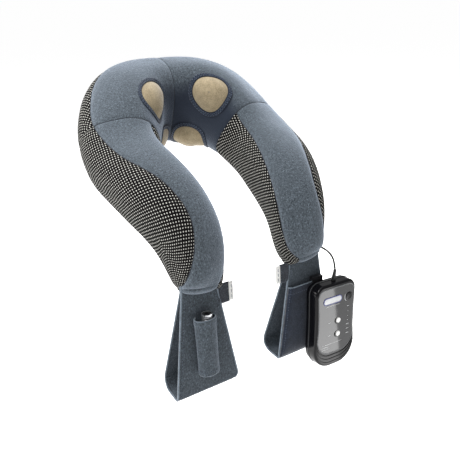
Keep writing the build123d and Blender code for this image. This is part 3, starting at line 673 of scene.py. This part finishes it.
# The border's section, outwards from the window's edge: (distance, height) in mm.
BORDER_SECTION = [(-1.2, -1.4), (-0.9, 0.6), (-0.2, 1.3), (0.9, 1.4), (2.6, 0.8),
                  (4.6, 0.85), (5.7, 1.0), (6.3, 0.5), (6.4, -1.2)]
window_stitches = Batch()
pad_u = np.linspace(-SHOULDER - 0.6, SHOULDER + 0.6, 150)[:, None]
pad_phi = np.linspace(60, 420, 240)[None, :]
pad_points = collar(*np.broadcast_arrays(pad_u, pad_phi), CROWN)[0].reshape(-1, 3)
pad_tree = BVHTree.FromPolygons([Vector(p) for p in pad_points], grid_faces(150, 240))


def window(side, which):
    """The tan cloth over one kneading head, its navy border and the stitches."""
    joint = joints[f"{side}_{which}_head_spin"]
    origin, axis = np.array(joint["pos_m"]), np.array(joint["axis"])
    axis /= np.linalg.norm(axis)
    skin, reach = WINDOWS[which]
    down = np.array((0, 0, -1.0)) + axis * axis[2]
    down /= np.linalg.norm(down)
    across = np.cross(axis, down)
    turns = np.linspace(0, 2 * pi, 96, endpoint=False)
    outline = reach * (1 + 0.05 * np.cos(3 * turns))

    def on_pad(radius, turn, lift):
        """The pad's surface nearest to a place on the window's plane, raised."""
        flat = origin + axis * skin + (down * cos(turn) + across * sin(turn)) * radius
        place, normal, _, _ = pad_tree.find_nearest(Vector(flat))
        normal = np.array(normal)
        if normal @ axis < 0:
            normal = -normal
        return np.array(place) + normal * lift

    def ring(grow, lift):
        """Points round the window, a distance outside its outline."""
        return np.array([on_pad(r + grow, t, lift) for r, t in zip(outline, turns)])

    rows = []
    for share in np.linspace(0, 1.02, 28)[1:]:
        rise = DOME * (1 - min(share, 1) ** 2.4)
        row = [on_pad(r * share, t, WINDOW_LIFT) + axis * rise for r, t in zip(outline, turns)]
        rows.append(row)
    points = [on_pad(0, 0, WINDOW_LIFT) + axis * DOME] + [p for row in rows for p in row]
    count = len(turns)
    faces = [(0, 1 + j, 1 + (j + 1) % count) for j in range(count)]
    faces += grid_faces(len(rows), count, start=1, wrap=True)
    dome = new_object(f"{side}_{which}_window", points, faces, tan_material)
    smooth = dome.modifiers.new("smooth", "SMOOTH")
    smooth.factor, smooth.iterations = 0.5, 6
    attach(dome, "tan_stretch_fabric", "collar", f"{side}_{which}_window_fabric")

    border_rows = np.array([ring(g * MM, h * MM) for g, h in BORDER_SECTION])
    rim = new_object(
        f"{side}_{which}_window_border", border_rows.reshape(-1, 3),
        grid_faces(len(BORDER_SECTION), count, wrap=True), navy_material,
    )
    attach(rim, "navy_fabric", "collar", f"{side}_{which}_window_ring")
    for grow, lift in ((1.7, 1.25), (5.2, 1.0)):
        loop = ring(grow * MM, lift * MM)
        stitches(window_stitches, np.vstack([loop, loop[:1]]), 3.0, 1.2, 0.45)
    inner, outer = ring(2.2 * MM, 1.1 * MM), ring(4.6 * MM, 0.95 * MM)
    zigzag = np.array([(inner, outer)[k % 2][k] for k in range(count)])
    window_stitches.add(*tube(zigzag, 0.34 * MM, 5, closed=True))


for side in SIDES:
    for which in WINDOWS:
        window(side, which)
window_stitches.build("window_stitches", thread_blue, "collar", "navy_fabric")

# --- hand straps' cloth
# The strap's side view in millimetres, as the CAD has it, and its widths.
STRAP_X, STRAP_SHIFT = 83.5, 3.0
STRAP_TOP_Z, STRAP_BOTTOM_Z = -161.5, -308.0
STRAP_TOP_W, STRAP_BOTTOM_W = 49.0, 94.0
STRAP_FRONT_TOP_Y, STRAP_FRONT_Y = -184.5, -200.55
STRAP_BACK_TOP_Y, STRAP_BACK_Y = -178.5, -156.0
STRAP_DROP = STRAP_TOP_Z - STRAP_BOTTOM_Z
STRAP_MIDDLE, STRAP_HALF_T = 1.5, 1.15
FRONT_CORNER, BACK_CORNER = 3.0, 16.5
STRAP_HIDDEN_Z = -149.0  # the straps' cloth starts here, inside the arms
front_lean = atan2(STRAP_FRONT_TOP_Y - STRAP_FRONT_Y, STRAP_DROP)
back_lean = atan2(STRAP_BACK_Y - STRAP_BACK_TOP_Y, STRAP_DROP)


def strap_loop():
    """The (y, z) line in the middle of the strap's cloth, from front to back."""
    front_z = STRAP_BOTTOM_Z + STRAP_MIDDLE + FRONT_CORNER
    front_inset = (STRAP_MIDDLE + FRONT_CORNER) / cos(front_lean)
    front_y = STRAP_FRONT_TOP_Y - (STRAP_TOP_Z - front_z) * tan(front_lean) + front_inset
    back_z = STRAP_BOTTOM_Z + STRAP_MIDDLE + BACK_CORNER
    back_inset = (STRAP_MIDDLE + BACK_CORNER) / cos(back_lean)
    back_y = STRAP_BACK_TOP_Y + (STRAP_TOP_Z - back_z) * tan(back_lean) - back_inset
    front_turn = np.linspace(pi - front_lean, 1.5 * pi, 10)
    back_turn = np.linspace(1.5 * pi, 2 * pi + back_lean, 24)
    line = [(STRAP_FRONT_TOP_Y + STRAP_MIDDLE, STRAP_HIDDEN_Z)]
    line += [(STRAP_FRONT_TOP_Y + STRAP_MIDDLE, STRAP_TOP_Z)]
    line += [(front_y + FRONT_CORNER * cos(a), front_z + FRONT_CORNER * sin(a)) for a in front_turn]
    line += [(back_y + BACK_CORNER * cos(a), back_z + BACK_CORNER * sin(a)) for a in back_turn]
    line += [(STRAP_BACK_TOP_Y - STRAP_MIDDLE, STRAP_TOP_Z)]
    line += [(STRAP_BACK_TOP_Y - STRAP_MIDDLE, STRAP_HIDDEN_Z)]
    return np.array([(0, y, z) for y, z in line])


def strap_share(z):
    return np.clip((STRAP_TOP_Z - z) / STRAP_DROP, 0, 1)


def strap_half(z):
    return (STRAP_TOP_W + (STRAP_BOTTOM_W - STRAP_TOP_W) * strap_share(z)) / 2


def strap_centre(z):
    return STRAP_X - STRAP_SHIFT * strap_share(z)


def strap_edge(z, edge, corner):
    """The x of the strap's outer (1) or inner (-1) edge, whose inner corner is rounded."""
    eased = corner * np.exp(-(((z - STRAP_BOTTOM_Z) / 5.5) ** 2)) if edge < 0 else 0
    return strap_centre(z) + edge * (strap_half(z) - eased)


def thick_sheet(outer, inner):
    """Points and faces of cloth between two grids of points."""
    rows, cols = outer.shape[:2]
    total = rows * cols
    faces = grid_faces(rows, cols) + [tuple(reversed(f)) for f in grid_faces(rows, cols, total)]
    rim = list(range(cols)) + [i * cols + cols - 1 for i in range(1, rows)]
    rim += [(rows - 1) * cols + j for j in range(cols - 2, -1, -1)]
    rim += [i * cols for i in range(rows - 2, 0, -1)]
    for a, b in zip(rim, rim[1:] + rim[:1]):
        faces.append((b, a, total + a, total + b))
    return np.concatenate([outer.reshape(-1, 3), inner.reshape(-1, 3)]), faces


def panel_point(x, height, off):
    """A place on the strap's front panel, in metres."""
    x, height, off = np.broadcast_arrays(x, height, off)
    y = STRAP_FRONT_TOP_Y + height * sin(front_lean) - off * cos(front_lean)
    z = STRAP_TOP_Z + height * cos(front_lean) + off * sin(front_lean)
    return np.stack([x, y, z], -1) * MM


CORNERS = {"left": 7.0, "right": 1.5}  # how far each strap's inner corner is rounded off
STRAP_COLS = 33
for side, sign in SIDES.items():
    body = f"{side}_hand_strap"
    raw = strap_loop()
    loop = resample(raw, np.linspace(0, lengths_along(raw)[-1], 190))
    normals = unit(np.cross(np.gradient(loop, axis=0), (1, 0, 0)))
    across = np.linspace(-1, 1, STRAP_COLS)
    low_edge = strap_edge(loop[:, 2:3], -1, CORNERS[side])
    high_edge = strap_edge(loop[:, 2:3], 1, CORNERS[side])
    x = low_edge + (high_edge - low_edge) * (across + 1) / 2
    centre = np.stack(np.broadcast_arrays(x, loop[:, 1:2], loop[:, 2:3]), 2)
    free = (strap_share(loop[:, 2:3]) ** 0.5) * (1 - across**4)
    wave = 0.22 * free * ripple(centre, 38, 7.0 + sign)
    half = STRAP_HALF_T * np.sqrt(np.clip(1 - np.abs(across) ** 14, 0, 1))
    outer = centre + normals[:, None] * (wave + half)[..., None]
    inner = centre + normals[:, None] * (wave - half)[..., None]
    points, faces = thick_sheet(outer * (sign, 1, 1) * MM, inner * (sign, 1, 1) * MM)
    strap = new_object(f"{side}_strap_cloth", points, faces, strap_material)
    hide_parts(f"{side}_strap")
    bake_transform(strap)
    edges, threads = Batch(), Batch()
    for edge in (-1, 1):
        edge_x = strap_edge(loop[:, 2], edge, CORNERS[side]) - edge * 0.2
        line = np.stack([edge_x, loop[:, 1], loop[:, 2]], 1)
        edges.add(*tube(line * (sign, 1, 1) * MM, 1.25 * MM, 10))
        row = line - (edge * 4.2, 0, 0) + normals * (STRAP_HALF_T + 0.1)
        stitches(threads, row[12:-12] * (sign, 1, 1) * MM, 2.6, 1.6, 0.2)
    trims = ((edges, "binding", binding_material), (threads, "edge_stitches", thread_blue))
    for batch, name, material in trims:
        piece = new_object(f"{side}_strap_{name}", batch.points, batch.faces, material)
        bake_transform(piece)

# Tabs on the inner edges, with their white labels.
TAB_W, TAB_H, LABEL_W, TAB_MIDDLE, TAB_OFF = 16.0, 28.0, 6.0, -16.0, -1.5
STITCH_GAP = 7.0  # keeps the stitches clear of the arm when the strap swings forward


def pillow(side, low, high, half, count=18):
    """A flat sewn strip on the strap's panel with soft edges."""
    aa, bb = np.meshgrid(np.linspace(-1, 1, count), np.linspace(-1, 1, count))
    x = (low[0] + high[0]) / 2 + aa * (high[0] - low[0]) / 2
    h = (low[1] + high[1]) / 2 + bb * (high[1] - low[1]) / 2
    thick = half * np.sqrt(np.clip(1 - np.maximum(np.abs(aa), np.abs(bb)) ** 8, 0, 1)) + 0.04
    sag = 0.35 * np.sin(aa * 2.2) * np.cos(bb * 1.3)
    outer = panel_point(x, h, TAB_OFF + thick + sag) * (side, 1, 1)
    inner = panel_point(x, h, TAB_OFF - thick + sag) * (side, 1, 1)
    return thick_sheet(outer, inner)


for side, sign in SIDES.items():
    body = f"{side}_hand_strap"
    edge_x = strap_centre(STRAP_TOP_Z + TAB_MIDDLE) - strap_half(STRAP_TOP_Z + TAB_MIDDLE)
    low_h, high_h = TAB_MIDDLE - TAB_H / 2, TAB_MIDDLE + TAB_H / 2
    tab_cloth = pillow(sign, (edge_x - TAB_W, low_h), (edge_x + 1.0, high_h), 0.95)
    tab = new_object(f"{side}_tab_cloth", *tab_cloth, webbing_material)
    attach(tab, "dark_webbing", body, f"{side}_tab")
    label_low = (edge_x - TAB_W - LABEL_W, low_h + 0.8)
    label_cloth = pillow(sign, label_low, (edge_x - TAB_W + 1.2, high_h - 0.8), 1.15)
    label = new_object(f"{side}_tab_strip", *label_cloth, label_material)
    attach(label, "label_fabric", body, f"{side}_tab_label")
    marks = Batch()
    for place in (-7, 0, 7):
        h = TAB_MIDDLE + place + np.linspace(-2.2, 2.2, 6)
        x = np.full(6, edge_x - TAB_W - LABEL_W / 2 + 0.4)
        marks.add(*tube(panel_point(x, h, TAB_OFF + 1.2) * (sign, 1, 1), 0.38 * MM, 6))
    marks.build(f"{side}_tab_marks", thread_blue, body, "label_fabric")
    rows = Batch()
    for x in (edge_x - TAB_W + 2.6, edge_x - 1.6):
        h = np.linspace(low_h + 1.5, high_h - STITCH_GAP, 30)
        row = panel_point(np.full(30, x), h, TAB_OFF + 1.15) * (sign, 1, 1)
        stitches(rows, row, 2.2, 1.2, 0.2)
    rows.build(f"{side}_tab_stitches", binding_material, body, "dark_webbing")

# The jack's sleeve: a D-shaped sewn tube with a hem at each end.
SLEEVE_X, SLEEVE_TOP, SLEEVE_L, SLEEVE_OFF = -83.5, -36.0, 77.0, 8.0
SLEEVE_TOP_R, SLEEVE_FOOT_R, SLEEVE_DEPTH = 15.7, 14.5, 11.0
sleeve_h = np.linspace(SLEEVE_TOP, SLEEVE_TOP - SLEEVE_L, 60)
sleeve_turn = np.radians(np.linspace(-46, 226, 72))


def sleeve_grid(inset):
    """The sleeve's surface, a distance inside its outer face."""
    share = (SLEEVE_TOP - sleeve_h[:, None]) / SLEEVE_L
    half = SLEEVE_TOP_R + (SLEEVE_FOOT_R - SLEEVE_TOP_R) * share - inset
    sides = (half * np.cos(sleeve_turn), sleeve_h[:, None], np.sin(sleeve_turn) * 10)
    rough = np.stack(np.broadcast_arrays(*sides), -1)
    fold = 0.45 * ripple(rough, 17, 2.0) + 0.25 * ripple(rough, 7, 4.0)
    near_end = np.minimum(share, 1 - share) * SLEEVE_L
    hem = 0.35 * np.clip((7 - near_end) / 1.2, 0, 1)
    fold = fold * np.clip(near_end / 6, 0.15, 1) + (hem if inset < 1 else 0) - 0.5
    x = SLEEVE_X + (half + fold) * np.cos(sleeve_turn)
    off = SLEEVE_OFF + (SLEEVE_DEPTH - inset + fold) * np.sin(sleeve_turn)
    return panel_point(x, np.repeat(sleeve_h[:, None], len(sleeve_turn), 1), np.maximum(off, 0.15))


sleeve_outer, sleeve_inner = sleeve_grid(0.2), sleeve_grid(1.7)
sleeve = new_object("jack_sleeve_cloth", *thick_sheet(sleeve_outer, sleeve_inner), sleeve_material)
attach(sleeve, "strap_fabric", "left_hand_strap", "jack_sleeve")
sleeve_seams, sleeve_hems_and_highlight = Batch(), Batch()
for row in (4, -5):
    stitches(sleeve_seams, sleeve_outer[row], 2.4, 1.4, 0.22)
for row in (0, -1):
    sleeve_hems_and_highlight.add(*tube((sleeve_outer[row] + sleeve_inner[row]) / 2, 0.95 * MM, 8))
# A pale tube down the sleeve's right edge: painted highlight for the rim sheen there.
sleeve_hems_and_highlight.add(*tube(sleeve_outer[:, 2], 0.8 * MM, 8))
sleeve_seams.build("jack_sleeve_stitches", thread_blue, "left_hand_strap", "strap_fabric")
sleeve_hems_and_highlight.build("jack_sleeve_hems_and_highlight", binding_material, "left_hand_strap", "strap_fabric")

# The remote's pocket: a navy panel with a hemmed open top.
POCKET_TOP, POCKET_BOTTOM, POCKET_RISE = -39.0, -141.0, 5.0
pocket_rows, pocket_cols = 70, 60
pocket_h = np.linspace(POCKET_TOP, POCKET_BOTTOM, pocket_rows)[:, None]
pocket_a = np.linspace(-1, 1, pocket_cols)[None, :]
pocket_z = STRAP_TOP_Z + pocket_h
pocket_x = strap_centre(pocket_z) + (strap_half(pocket_z) - 0.9) * pocket_a
low_end = np.clip((pocket_h - POCKET_BOTTOM) / (POCKET_TOP - POCKET_BOTTOM), 0, 1)
rise = (1 - np.abs(pocket_a) ** 12) * (1 - (1 - low_end) ** 14)
rough = np.stack(np.broadcast_arrays(pocket_x, pocket_h, 0 * pocket_x), -1)
folds = 0.5 * ripple(rough, 30, 6.0) * rise * np.clip((POCKET_TOP - pocket_h) / 15, 0, 1)
pocket_off = 0.75 + (POCKET_RISE - 0.75) * rise + folds
pocket_hem = 0.3 * np.clip((9 - (POCKET_TOP - pocket_h)) / 1.0, 0, 1)
pocket_outer = panel_point(pocket_x, pocket_h, pocket_off + 0.75 + pocket_hem)
pocket_inner = panel_point(pocket_x, pocket_h, np.maximum(pocket_off - 0.6, 0.1))
pocket = new_object("strap_pocket_cloth", *thick_sheet(pocket_outer, pocket_inner), navy_material)
attach(pocket, "navy_fabric", "right_hand_strap", "strap_pocket")
pocket_threads, pocket_edges = Batch(), Batch()
pocket_edges.add(*tube((pocket_outer[0] + pocket_inner[0]) / 2, 0.95 * MM, 8))
stitches(pocket_threads, pocket_outer[6], 2.4, 1.4, 0.22)
for column in (2, -3):
    stitches(pocket_threads, pocket_outer[:, column], 2.4, 1.4, 0.22)
pocket_threads.build("strap_pocket_stitches", thread_blue, "right_hand_strap", "navy_fabric")
pocket_edges.build("strap_pocket_hem", binding_material, "right_hand_strap", "navy_fabric")

# --- the remote's lead
CORD_R = 1.35
CORD_ROUTE = [
    (104.0, -188.0, -149.0),
    (110.5, -191.5, -153.2),
    (116.5, -196.5, -158.5),
    (119.5, -202.0, -165.0),
    (119.8, -206.5, -173.0),
    (118.6, -210.0, -181.5),
]
route_data = bpy.data.curves.new("lead_route", "CURVE")
route_data.dimensions = "3D"
spline = route_data.splines.new("NURBS")
spline.points.add(len(CORD_ROUTE) - 1)
for point, place in zip(spline.points, CORD_ROUTE):
    point.co = (*(c * MM for c in place), 1)
spline.order_u = 3
spline.use_endpoint_u = True
spline.resolution_u = 16
route = add_to_scene("lead_route", route_data)
route_mesh = bpy.data.meshes.new_from_object(route)
lead_path = [tuple(v.co) for v in route_mesh.vertices]
bpy.data.objects.remove(route)
lead = new_object("remote_lead", *tube(lead_path, CORD_R * MM, 16), cord_material)
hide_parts("remote_cord")
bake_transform(lead)

# --- the remote's face
REMOTE_X, REMOTE_DROP, REMOTE_OFF = 111.0, -102.0, 8.0
REMOTE_TILT = radians(2.5)
PLATE_TOP = 25.4  # the faceplate's surface, in front of the remote's back
BUTTONS = [(4.0, 6.7), (4.0, -14.2)]


def remote_point(x, y, depth):
    """A place in the remote's own frame, in metres."""
    x, y, depth = np.broadcast_arrays(x, y, depth)
    across = REMOTE_X + x * cos(REMOTE_TILT) + y * sin(REMOTE_TILT)
    up = REMOTE_DROP - x * sin(REMOTE_TILT) + y * cos(REMOTE_TILT)
    return panel_point(across, up, REMOTE_OFF + depth)


def on_face(batch, line, radius, lift=0.0, count=8):
    """A raised or printed line on the remote's face."""
    line = np.asarray(line, float)
    batch.add(*tube(remote_point(*line.T, PLATE_TOP + lift), np.asarray(radius) * MM, count))


def dash(batch, first, last, radius=0.42, lift=-0.2):
    share = np.linspace(0, 1, 8)[:, None]
    line = np.array(first) * (1 - share) + np.array(last) * share
    ends = radius * np.array([0.5, 0.9, 1, 1, 1, 1, 0.9, 0.5])
    on_face(batch, line, ends, lift)


def corner(x, y, radius, turn):
    return np.stack([x + radius * np.cos(turn), y + radius * np.sin(turn)], 1)


def arc(centre, radius, first, last, count=40):
    return corner(*centre, radius, np.radians(np.linspace(first, last, count)))


def half_outline(top, bottom, widths, top_r, bottom_r):
    """The right side of a waisted outline with round corners, bottom to top."""
    top_turn = np.radians(np.linspace(0, 90, 16))
    bottom_turn = np.radians(np.linspace(-90, 0, 24))
    x_top, x_waist, x_foot = widths
    foot = corner(x_foot - bottom_r, bottom + bottom_r, bottom_r, bottom_turn)
    head = corner(x_top - top_r, top - top_r, top_r, top_turn)
    y = np.linspace(bottom + bottom_r, top - top_r, 22)[1:-1]
    bend = np.interp(y, (bottom + bottom_r, 3, top - top_r), (0, 1, 0))
    waist = ((x_top + x_foot) / 2 - x_waist) * np.sin(bend * pi / 2)
    side = x_foot + (x_top - x_foot) * (y - y[0]) / (y[-1] - y[0]) - waist
    return np.concatenate([foot, np.stack([side, y], 1), head])


def full_outline(half):
    return np.concatenate([half, half[::-1] * (-1, 1)])


def plate(batch, outline, low, high, middle=None):
    """A thin raised plate with an eased edge."""
    centre = outline.mean(0) if middle is None else np.array(middle)
    rings = [(1.0, low), (1.0, high - 0.12), (0.965, high)]
    points = [remote_point(*(centre + (outline - centre) * s).T, d) for s, d in rings]
    count = len(outline)
    faces = grid_faces(3, count, wrap=True) + [tuple(range(2 * count, 3 * count))]
    batch.add(np.concatenate(points), faces)


strap_body = "right_hand_strap"
lip = Batch()
plate_outline = full_outline(half_outline(58, -42, (33, 31.4, 33.2), 11, 24))
lip_line = remote_point(*plate_outline.T, PLATE_TOP - 0.35)
lip.add(*tube(lip_line, 0.85 * MM, 10, closed=True))
lip.build("remote_face_lip", lip_material, strap_body, "silver_trim")

ridges = Batch()
RIDGE_DEPTH = 24.75
for step in (0.22, 0.5, 0.78):
    side_x = 33.6 + 1.6 * step
    half = half_outline(40, -42 - 19.5 * step, (side_x, side_x, side_x), 4, 24 + 3 * step)
    half = half[half[:, 1] < -14 + 6 * step]
    line = np.concatenate([half[::-1], half[1:] * (-1, 1)])
    fade = np.clip(np.minimum(np.arange(len(line)), np.arange(len(line))[::-1]) / 7, 0.05, 1)
    ridges.add(*tube(remote_point(*line.T, RIDGE_DEPTH - 0.35 * step), 1.15 * fade * MM, 10))
ridges.build("remote_foot_ridges", SLOT_MATERIALS["remote_gloss"], strap_body, "remote_gloss")

prints, darks, badge, badge_rim = Batch(), Batch(), Batch(), Batch()
BADGE, BADGE_HALF_L, BADGE_R = (-7.5, 40.0), 16.5, 4.9
right_end = arc((BADGE_HALF_L - BADGE_R, 0), BADGE_R, -90, 90, 24)
badge_outline = np.concatenate([right_end, right_end[::-1] * (-1, 1)]) + BADGE
plate(badge, badge_outline, PLATE_TOP - 0.2, PLATE_TOP + 0.35)
badge_line = remote_point(*badge_outline.T, PLATE_TOP + 0.15)
badge_rim.add(*tube(badge_line, 0.62 * MM, 8, closed=True))
badge.build("remote_badge", print_material, strap_body, "button_white")
badge_rim.build("remote_badge_rim", badge_blue, strap_body, "navy_fabric")
DIAL = (23.6, 39.0)
plate(darks, arc(DIAL, 6.3, 0, 352.5, 48), PLATE_TOP - 0.2, PLATE_TOP + 0.5, DIAL)
for radius in (4.4, 2.6):
    ring_line = remote_point(*arc(DIAL, radius, 0, 352.5, 48).T, PLATE_TOP + 0.5)
    darks.add(*tube(ring_line, 0.3 * MM, 6, closed=True))
for centre in BUTTONS:
    on_face(darks, arc(centre, 5.5, 120, 262), np.sin(np.linspace(0.1, pi - 0.1, 40)) + 0.05, -0.1)
darks.build("remote_dark_details", SLOT_MATERIALS["remote_gloss"], strap_body, "remote_gloss")
on_face(prints, arc(DIAL, 8.4, 145, 240), np.sin(np.linspace(0.15, pi - 0.15, 40)) * 0.42 + 0.05, -0.15)
MARK_X = 22.4
dash(prints, (MARK_X - 1.7, 23.8), (MARK_X + 1.7, 23.8), 0.5)
for y in (16.1, 8.6, 1.7):
    dash(prints, (MARK_X - 0.5, y), (MARK_X + 0.5, y), 0.42)
for y in (-4.7, -11.5, -18.7):
    dash(prints, (MARK_X - 2.6, y), (MARK_X + 2.6, y), 0.42)
for y in (6.0, -13.8):
    dash(prints, (-14.4, y), (-8.6, y), 0.4)
    dash(prints, (-7.4, y + 0.3), (-3.0, y + 0.3), 0.2)
SMALL_PRINT = [(-27.2, -26.5, 14.5), (-30.8, -26.3, -12.0), (-34.2, -25.0, -9.5), (31.8, -20.5, 7.5)]
for y, first, last in SMALL_PRINT:
    dash(prints, (first, y), (last, y), 0.36)
prints.build("remote_marks", print_material, strap_body, "button_white")

# A ribbed relief where the lead goes into the remote.
relief_start = np.array(CORD_ROUTE[-1]) * MM
relief_end = remote_point(3.7, 63.9, 13.0)
share = np.linspace(0, 1, 60)
ribs = 0.28 * (0.5 + 0.5 * np.cos(share * 2 * pi * 7)) * np.clip(1 - share, 0, 1) ** 0.3
relief_line = relief_start + (relief_end - relief_start) * share[:, None]
relief_radius = (2.0 + 1.3 * share**1.4 + ribs) * MM
relief = new_object("lead_relief", *tube(relief_line, relief_radius, 20), cord_material)
attach(relief, "cord_rubber", strap_body, "strain_relief")

# --- finish
FLOOR_HALF, FLOOR_Z = 400, -0.5
floor_corners = [(-1, -1), (1, -1), (1, 1), (-1, 1)]
floor_points = [(x * FLOOR_HALF, y * FLOOR_HALF, FLOOR_Z) for x, y in floor_corners]
floor = new_object("floor", floor_points, [(0, 1, 2, 3)])
floor_nodes = Nodes("floor_paper")
floor_nodes.finish(
    floor_nodes.ramp(floor_nodes.noise(floor_nodes.place(), 40), [(0.3, grey(0.86)), (0.7, grey(0.90))]),
    floor_nodes.bump(floor_nodes.noise(floor_nodes.place(), 300), 0.0002, 0.2), 0.9,
    {"Emission Color": (1, 1, 1, 1), "Emission Strength": 0.62, "Specular IOR Level": 0.0},
)
floor.data.materials.append(floor_nodes.material)


def area_light(name, place, target, width, height, power):
    """A soft box that shines at a point."""
    data = bpy.data.lights.new(name, "AREA")
    data.shape = "RECTANGLE"
    data.size, data.size_y = width, height
    data.energy = power
    light = add_to_scene(name, data)
    light.location = place
    light.rotation_euler = (Vector(place) - Vector(target)).to_track_quat("Z", "Y").to_euler()
    return light


AIM = (0, -0.05, -0.05)
area_light("key", (-1.0, -0.3, 1.4), AIM, 0.8, 0.8, 22)
area_light("top", (0.0, 0.35, 1.5), AIM, 1.2, 0.9, 24)
rim_right = area_light("rim_right", (1.3, 0.8, 0.5), AIM, 0.6, 1.2, 26)
rim_right.visible_glossy = False
area_light("rim_left", (-1.3, 0.9, 0.6), AIM, 0.6, 1.2, 16)
# A small card whose edge is mirrored down the middle of the remote's glossy face.
CARD_W, CARD_DISTANCE = 0.10, 0.28
face_normal = Vector((0, -cos(front_lean), sin(front_lean)))
face_split = Vector(remote_point(1.0, 8.0, PLATE_TOP))
sight = (face_split - camera.location).normalized()
bounce = sight - 2 * sight.dot(face_normal) * face_normal
card_side = bounce.cross((0, 0, 1)).normalized()
card_place = face_split + bounce * CARD_DISTANCE + card_side * CARD_W / 2
card = area_light("card", card_place, card_place - bounce, CARD_W, 0.24, 0.30)
card.visible_camera = False
card.visible_diffuse = False
world = bpy.data.worlds.new("studio")
world.use_nodes = True
world.node_tree.nodes["Background"].inputs["Color"].default_value = (1, 1, 1, 1)
world.node_tree.nodes["Background"].inputs["Strength"].default_value = 0.42
bpy.context.scene.world = world
bpy.context.scene.view_settings.view_transform = "Standard"
